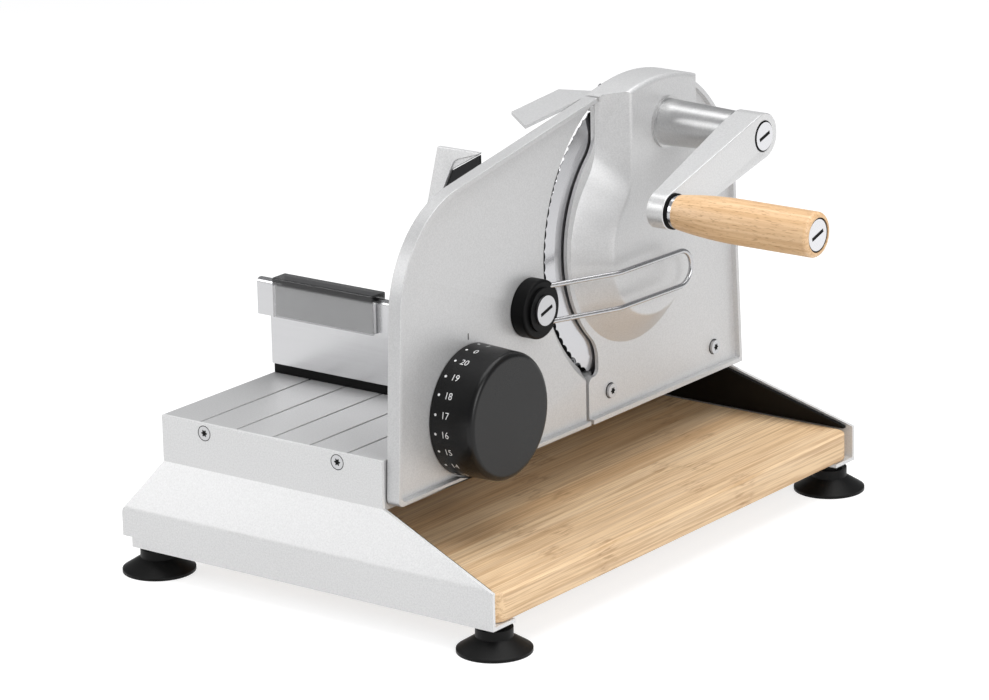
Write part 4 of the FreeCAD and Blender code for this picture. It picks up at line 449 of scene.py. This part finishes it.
# The solid, its rounded copy, the finish, the body, the rounding in mm and its segments
ROUNDED = (
    ("stop_plate", "stop_plate_casting", PLATE_METAL, "plate", 0.5, 3),
    ("main_housing", "housing_casting", WALL_METAL, "base", 0.8, 3),
    ("base_deck", "deck_section", DECK_METAL, "base", 0.5, 2),
    ("crank_arm", "crank_lever", CRANK_METAL, "crank", 1.2, 4),
    ("foot_bracket_front", "front_bracket_sheet", BRACKET_METAL, "base", 0.35, 2),
    ("foot_bracket_rear", "rear_bracket_sheet", BRACKET_METAL, "base", 0.35, 2),
    ("guard_shelf", "guard_shelf_sheet", WALL_METAL, "base", 0.35, 2),
    ("holder_shell", "holder_casting", HOLDER_METAL, "holder", 0.4, 2),
    ("thumb_guard_bar", "guard_bar", SMOKY_BAR, "carriage", 0.9, 3),
)
for node, name, finish, body, width, segments in ROUNDED:
    edged(node, name, finish, body, width * MM, segments)


def finished(shape, name, finish, body):
    """Turn a drawn shape into a piece of its own."""
    mesh = bpy.data.meshes.new(name)
    shape.to_mesh(mesh)
    shape.free()
    new_piece(name, mesh, finish, body)


# Dial marks: a dot and a plain number for each step, wrapped around the skirt
DIAL_STEPS = 21
STEP_TURN = 2 * math.pi / DIAL_STEPS
FIRST_MARK = math.pi / 2 - 0.63 * STEP_TURN
DIAL_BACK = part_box("thickness_dial")[0].x
DIAL_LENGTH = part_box("thickness_dial")[1].x - DIAL_BACK
SKIRT_BACK = 35.4 * MM
SKIRT_DRAW = 1.1 * MM
INK = 0.1 * MM
DOT_X = at_x(52.7)
NUMBER_X = at_x(58.7)
DOT_RADIUS = 0.75 * MM
DOT_SIDES = 16
NUMBER_SIZE = 5.4 * MM
NUMBER_NARROWING = 0.92


def on_skirt(x, turn, up):
    """A place on the dial's skirt; turn starts at -Y and grows towards the top."""
    radius = SKIRT_BACK - SKIRT_DRAW * (x - DIAL_BACK) / DIAL_LENGTH + INK
    angle = turn + up / radius
    return Vector((x, DIAL_AXIS.y - radius * math.cos(angle), DIAL_AXIS.z + radius * math.sin(angle)))


def number_mesh(text):
    """Flat figures, centred, with their faces."""
    data = bpy.data.curves.new("figures", "FONT")
    data.body = text
    data.size = NUMBER_SIZE
    data.align_x = "CENTER"
    data.align_y = "CENTER"
    holder = bpy.data.objects.new("figures", data)
    mesh = bpy.data.meshes.new_from_object(holder)
    bpy.data.objects.remove(holder)
    return mesh


def dial_marks():
    shape = bmesh.new()
    for step in range(DIAL_STEPS):
        turn = FIRST_MARK - step * STEP_TURN
        flat = number_mesh(str((DIAL_STEPS - step) % DIAL_STEPS))
        corners = [shape.verts.new(on_skirt(NUMBER_X + v.co.x * NUMBER_NARROWING, turn, v.co.y))
                   for v in flat.vertices]
        for polygon in flat.polygons:
            shape.faces.new([corners[index] for index in polygon.vertices])
        bpy.data.meshes.remove(flat)
        rim = []
        for index in range(DOT_SIDES):
            angle = 2 * math.pi * index / DOT_SIDES
            rim.append(shape.verts.new(on_skirt(DOT_X + DOT_RADIUS * math.cos(angle), turn,
                                                DOT_RADIUS * math.sin(angle))))
        shape.faces.new(rim)
    finished(shape, "dial_marks", WHITE_MARKS, "dial")


def facing(place, way):
    """A frame at a place whose Z points out of a face."""
    return Matrix.Translation(place) @ Vector(way).to_track_quat("Z", "Y").to_matrix().to_4x4()


ROUND_STEPS = 48
SHOULDER = 0.6
STAR_LOBES = 6
STAR_DEPTH = 0.05 * MM


def add_ring(shape, stand, inner, outer, height):
    """A flat ring with a low crown, which carries painted shade in the gap around a head or a cap."""
    profile = [(inner, -height), (inner, height * SHOULDER), ((inner + outer) / 2, height),
               (outer, height * SHOULDER), (outer, -height)]
    rows = []
    for index in range(ROUND_STEPS):
        angle = 2 * math.pi * index / ROUND_STEPS
        rows.append([shape.verts.new(stand @ Vector((radius * math.cos(angle), radius * math.sin(angle),
                                                     up))) for radius, up in profile])
    for index in range(ROUND_STEPS):
        here, there = rows[index], rows[(index + 1) % ROUND_STEPS]
        for place in range(len(profile)):
            following = (place + 1) % len(profile)
            shape.faces.new([here[place], there[place], there[following], here[following]])


def add_star(shape, stand, radius, share):
    """A six-lobed recess, drawn as a shallow dished star that carries the painted shade inside the
    recess.
    """
    rim = []
    for index in range(ROUND_STEPS):
        angle = 2 * math.pi * index / ROUND_STEPS
        reach = radius * (1 - share + share * math.cos(STAR_LOBES * angle))
        rim.append(shape.verts.new(stand @ Vector((reach * math.cos(angle), reach * math.sin(angle), 0))))
    centre = shape.verts.new(stand @ Vector((0, 0, -STAR_DEPTH)))
    for index in range(ROUND_STEPS):
        shape.faces.new([rim[index], rim[(index + 1) % ROUND_STEPS], centre])


# Screw heads: painted shade, in black, in each star recess and as a dark line in the gap around each head
SCREW_Z = 83.7 * MM
SCREW_PLACES_X = (at_x(-77), at_x(13.6))
BRACKET_FACE = 159.1 * MM
HOUSING_SCREW_Z = 78.4 * MM
HOUSING_SCREW_PLACES_Y = (37 * MM, 138 * MM)
WEB_FRONT = at_x(48.8)
HEAD_RADIUS = 4 * MM
HEAD_HEIGHT = 1.8 * MM
STAR_RADIUS = 2.1 * MM
STAR_WAVE = 0.2
PROUD = 0.03 * MM
SUNK_GAP_SHADE = (HEAD_RADIUS - 0.1 * MM, HEAD_RADIUS + 0.3 * MM)
RAISED_GAP_SHADE = (HEAD_RADIUS, HEAD_RADIUS + 0.45 * MM)


def screw_details():
    stars = bmesh.new()
    gap_shades = bmesh.new()
    for way in (-1, 1):
        for x in SCREW_PLACES_X:
            stand = facing((x, way * (BRACKET_FACE + PROUD), SCREW_Z), (0, way, 0))
            add_star(stars, stand, STAR_RADIUS, STAR_WAVE)
            add_ring(gap_shades, stand, *SUNK_GAP_SHADE, PROUD)
    for y in HOUSING_SCREW_PLACES_Y:
        top = facing((WEB_FRONT + HEAD_HEIGHT + PROUD, y, HOUSING_SCREW_Z), (1, 0, 0))
        add_star(stars, top, STAR_RADIUS, STAR_WAVE)
        foot = facing((WEB_FRONT + PROUD, y, HOUSING_SCREW_Z), (1, 0, 0))
        add_ring(gap_shades, foot, *RAISED_GAP_SHADE, PROUD)
    finished(stars, "screw_recess_shade", PAINTED_SHADE_BLACK, "base")
    finished(gap_shades, "screw_gap_shade", PAINTED_SHADE_BLACK, "base")


# Painted shade rings in the gaps around the slotted caps: the node whose face carries one, its axis, its
# sink, inner and outer radius and height in mm
CAP_SHADE_RINGS = (
    ("crank_arm", CRANK_AXIS, 0.1, 7.72, 8.38, 0.2),
    ("handle_bolt", GRIP_AXIS, 0.3, 8.33, 9.12, 0.25),
)


def cap_gap_shades():
    """Painted shade: black rings on the seat floors, in the gaps around the slotted caps of the crank arm
    and the grip.
    """
    seat_shades = bmesh.new()
    for node, axis, sink, inner, outer, height in CAP_SHADE_RINGS:
        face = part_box(node)[1].x
        stand = facing((face - sink * MM, axis.y, axis.z), (1, 0, 0))
        add_ring(seat_shades, stand, inner * MM, outer * MM, height * MM)
    finished(seat_shades, "crank_cap_gap_shade", PAINTED_SHADE_BLACK, "crank")


# Coin slots, with painted shade inside: the cap, its axis, its radius and its body
SLOTTED_CAPS = (
    ("arm_cap", CRANK_AXIS, 7.7 * MM, "crank"),
    ("handle_bolt", GRIP_AXIS, 8.3 * MM, "crank"),
    ("deflector_bolt", HUB_AXIS, 8.2 * MM, "plate"),
)
SLOT_TURN = math.radians(17)
SLOT_SHARE = 0.65
SLOT_HALF_WIDTH = 0.95 * MM
SLOT_SINK = 0.08 * MM


def slot_shades():
    """Painted shade: a black strip inside the coin slots of the three caps."""
    along = Vector((0, math.cos(SLOT_TURN), math.sin(SLOT_TURN)))
    across = Vector((0, -math.sin(SLOT_TURN), math.cos(SLOT_TURN)))
    for node, axis, radius, body in SLOTTED_CAPS:
        middle = Vector((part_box(node)[1].x - SLOT_SINK, axis.y, axis.z))
        half_length = SLOT_SHARE * radius
        shape = bmesh.new()
        corners = [shape.verts.new(middle + along * half_length * a + across * SLOT_HALF_WIDTH * b)
                   for a, b in ((-1, -1), (1, -1), (1, 1), (-1, 1))]
        shape.faces.new(corners)
        finished(shape, node + "_slot", PAINTED_SHADE_BLACK, body)


LINE_LOW = 138.7 * MM
LINE_HIGH = 142.3 * MM
LINE_HALF_WIDTH = 0.5 * MM
LINE_END = LINE_HALF_WIDTH * 0.6


def index_line():
    """The pointer line on the plate above the dial, with cut corners."""
    half, end = LINE_HALF_WIDTH, LINE_END
    outline = [(-half, LINE_LOW + end), (-end, LINE_LOW), (end, LINE_LOW), (half, LINE_LOW + end),
               (half, LINE_HIGH - end), (end, LINE_HIGH), (-end, LINE_HIGH), (-half, LINE_HIGH - end)]
    shape = bmesh.new()
    front = [shape.verts.new((WEB_FRONT + PROUD, DIAL_AXIS.y + y, z)) for y, z in outline]
    shape.faces.new(front)
    finished(shape, "index_line", DARK_MARKS, "plate")


dial_marks()
screw_details()
cap_gap_shades()
slot_shades()
index_line()

# Camera at the photograph's angle
IMAGE_WIDTH = 989
FOCAL_PIXELS = 4501.2
SENSOR_WIDTH = 36
AZIMUTH = math.radians(37.0943)
ELEVATION = math.radians(16.4768)
ROLL = math.radians(-1.1884)
DISTANCE = 2.46777
SLIDE_RIGHT = -0.00204
SLIDE_UP = 0.00269
TARGET = Vector((at_x(0), 0, 0.1))


def add_camera():
    back = Vector((math.sin(AZIMUTH) * math.cos(ELEVATION),
                   -math.cos(AZIMUTH) * math.cos(ELEVATION), math.sin(ELEVATION)))
    right = Vector((math.cos(AZIMUTH), math.sin(AZIMUTH), 0))
    up = back.cross(right)
    rolled_right = right * math.cos(ROLL) + up * math.sin(ROLL)
    rolled_up = up * math.cos(ROLL) - right * math.sin(ROLL)
    data = bpy.data.cameras.new("photo_camera")
    data.sensor_width = SENSOR_WIDTH
    data.lens = FOCAL_PIXELS * SENSOR_WIDTH / IMAGE_WIDTH
    camera = bpy.data.objects.new("photo_camera", data)
    bpy.context.scene.collection.objects.link(camera)
    camera.location = TARGET + back * DISTANCE + rolled_right * SLIDE_RIGHT + rolled_up * SLIDE_UP
    turn = Matrix((rolled_right, rolled_up, back)).transposed()
    camera.rotation_mode = "QUATERNION"
    camera.rotation_quaternion = turn.to_quaternion()
    bpy.context.scene.camera = camera


# Floor, world and lamps
FLOOR_RADIUS = 6
FLOOR_SIDES = 64
FLOOR_DROP = 0.2 * MM
FLOOR_COLOUR = (0.62, 0.62, 0.62)
SEEN_FLOOR_COLOUR = (0.42, 0.42, 0.42)
SEEN_FLOOR_GLOW = 0.74
SKY_COLOUR = (0.97, 0.98, 1.0, 1)
SKY_STRENGTH = 0.32
LAMP_TARGET = (0, 0, 0.12)
# Name, place, width and height in metres, power in watts
LAMPS = (
    ("top_softbox", (0.1, 0.1, 1.5), 1.4, 1.4, 19),
    ("left_softbox", (-1.2, -1.1, 0.8), 0.9, 0.9, 9),
    ("right_softbox", (1.5, -0.5, 0.7), 0.8, 1.0, 12.5),
)


def add_floor():
    shape = bmesh.new()
    bmesh.ops.create_circle(shape, cap_ends=True, segments=FLOOR_SIDES, radius=FLOOR_RADIUS)
    mesh = bpy.data.meshes.new("floor")
    shape.to_mesh(mesh)
    shape.free()
    floor = bpy.data.objects.new("floor", mesh)
    floor.location.z = -FLOOR_DROP
    bpy.context.scene.collection.objects.link(floor)
    paint = Paint("pale_floor")
    rays = paint.tree.nodes.new("ShaderNodeLightPath")
    seen = Value(paint, rays.outputs["Is Camera Ray"]).join(
        "MAXIMUM", Value(paint, rays.outputs["Is Glossy Ray"])).join(
        "MAXIMUM", Value(paint, rays.outputs["Is Transmission Ray"]))
    plain = paint.node("ShaderNodeBsdfDiffuse", None, {"Color": FLOOR_COLOUR})
    dim = paint.node("ShaderNodeBsdfDiffuse", None, {"Color": SEEN_FLOOR_COLOUR})
    glow = paint.node("ShaderNodeEmission", None, {"Color": (1, 1, 1), "Strength": SEEN_FLOOR_GLOW})
    lit = paint.node("ShaderNodeAddShader", None, {0: dim, 1: glow})
    mixed = paint.node("ShaderNodeMixShader", None, {0: seen, 1: plain, 2: lit})
    paint.tree.links.new(mixed.socket, paint.output.inputs[0])
    mesh.materials.append(paint.material)


def add_world():
    world = bpy.data.worlds.new("studio")
    bpy.context.scene.world = world
    world.use_nodes = True
    tree = world.node_tree
    tree.nodes.clear()
    rays = tree.nodes.new("ShaderNodeLightPath")
    sky = tree.nodes.new("ShaderNodeBackground")
    sky.inputs["Color"].default_value = SKY_COLOUR
    sky.inputs["Strength"].default_value = SKY_STRENGTH
    white = tree.nodes.new("ShaderNodeBackground")
    white.inputs["Color"].default_value = (1, 1, 1, 1)
    mixed = tree.nodes.new("ShaderNodeMixShader")
    output = tree.nodes.new("ShaderNodeOutputWorld")
    tree.links.new(rays.outputs["Is Camera Ray"], mixed.inputs[0])
    tree.links.new(sky.outputs[0], mixed.inputs[1])
    tree.links.new(white.outputs[0], mixed.inputs[2])
    tree.links.new(mixed.outputs[0], output.inputs[0])


def add_lamp(name, place, width, height, power):
    data = bpy.data.lights.new(name, "AREA")
    data.shape = "RECTANGLE"
    data.size = width
    data.size_y = height
    data.energy = power
    lamp = bpy.data.objects.new(name, data)
    bpy.context.scene.collection.objects.link(lamp)
    lamp.location = place
    lamp.rotation_mode = "QUATERNION"
    lamp.rotation_quaternion = (Vector(LAMP_TARGET) - Vector(place)).to_track_quat("-Z", "Y")


bpy.context.scene.view_settings.view_transform = "Standard"
add_camera()
add_floor()
add_world()
for name, place, width, height, power in LAMPS:
    add_lamp(name, place, width, height, power)
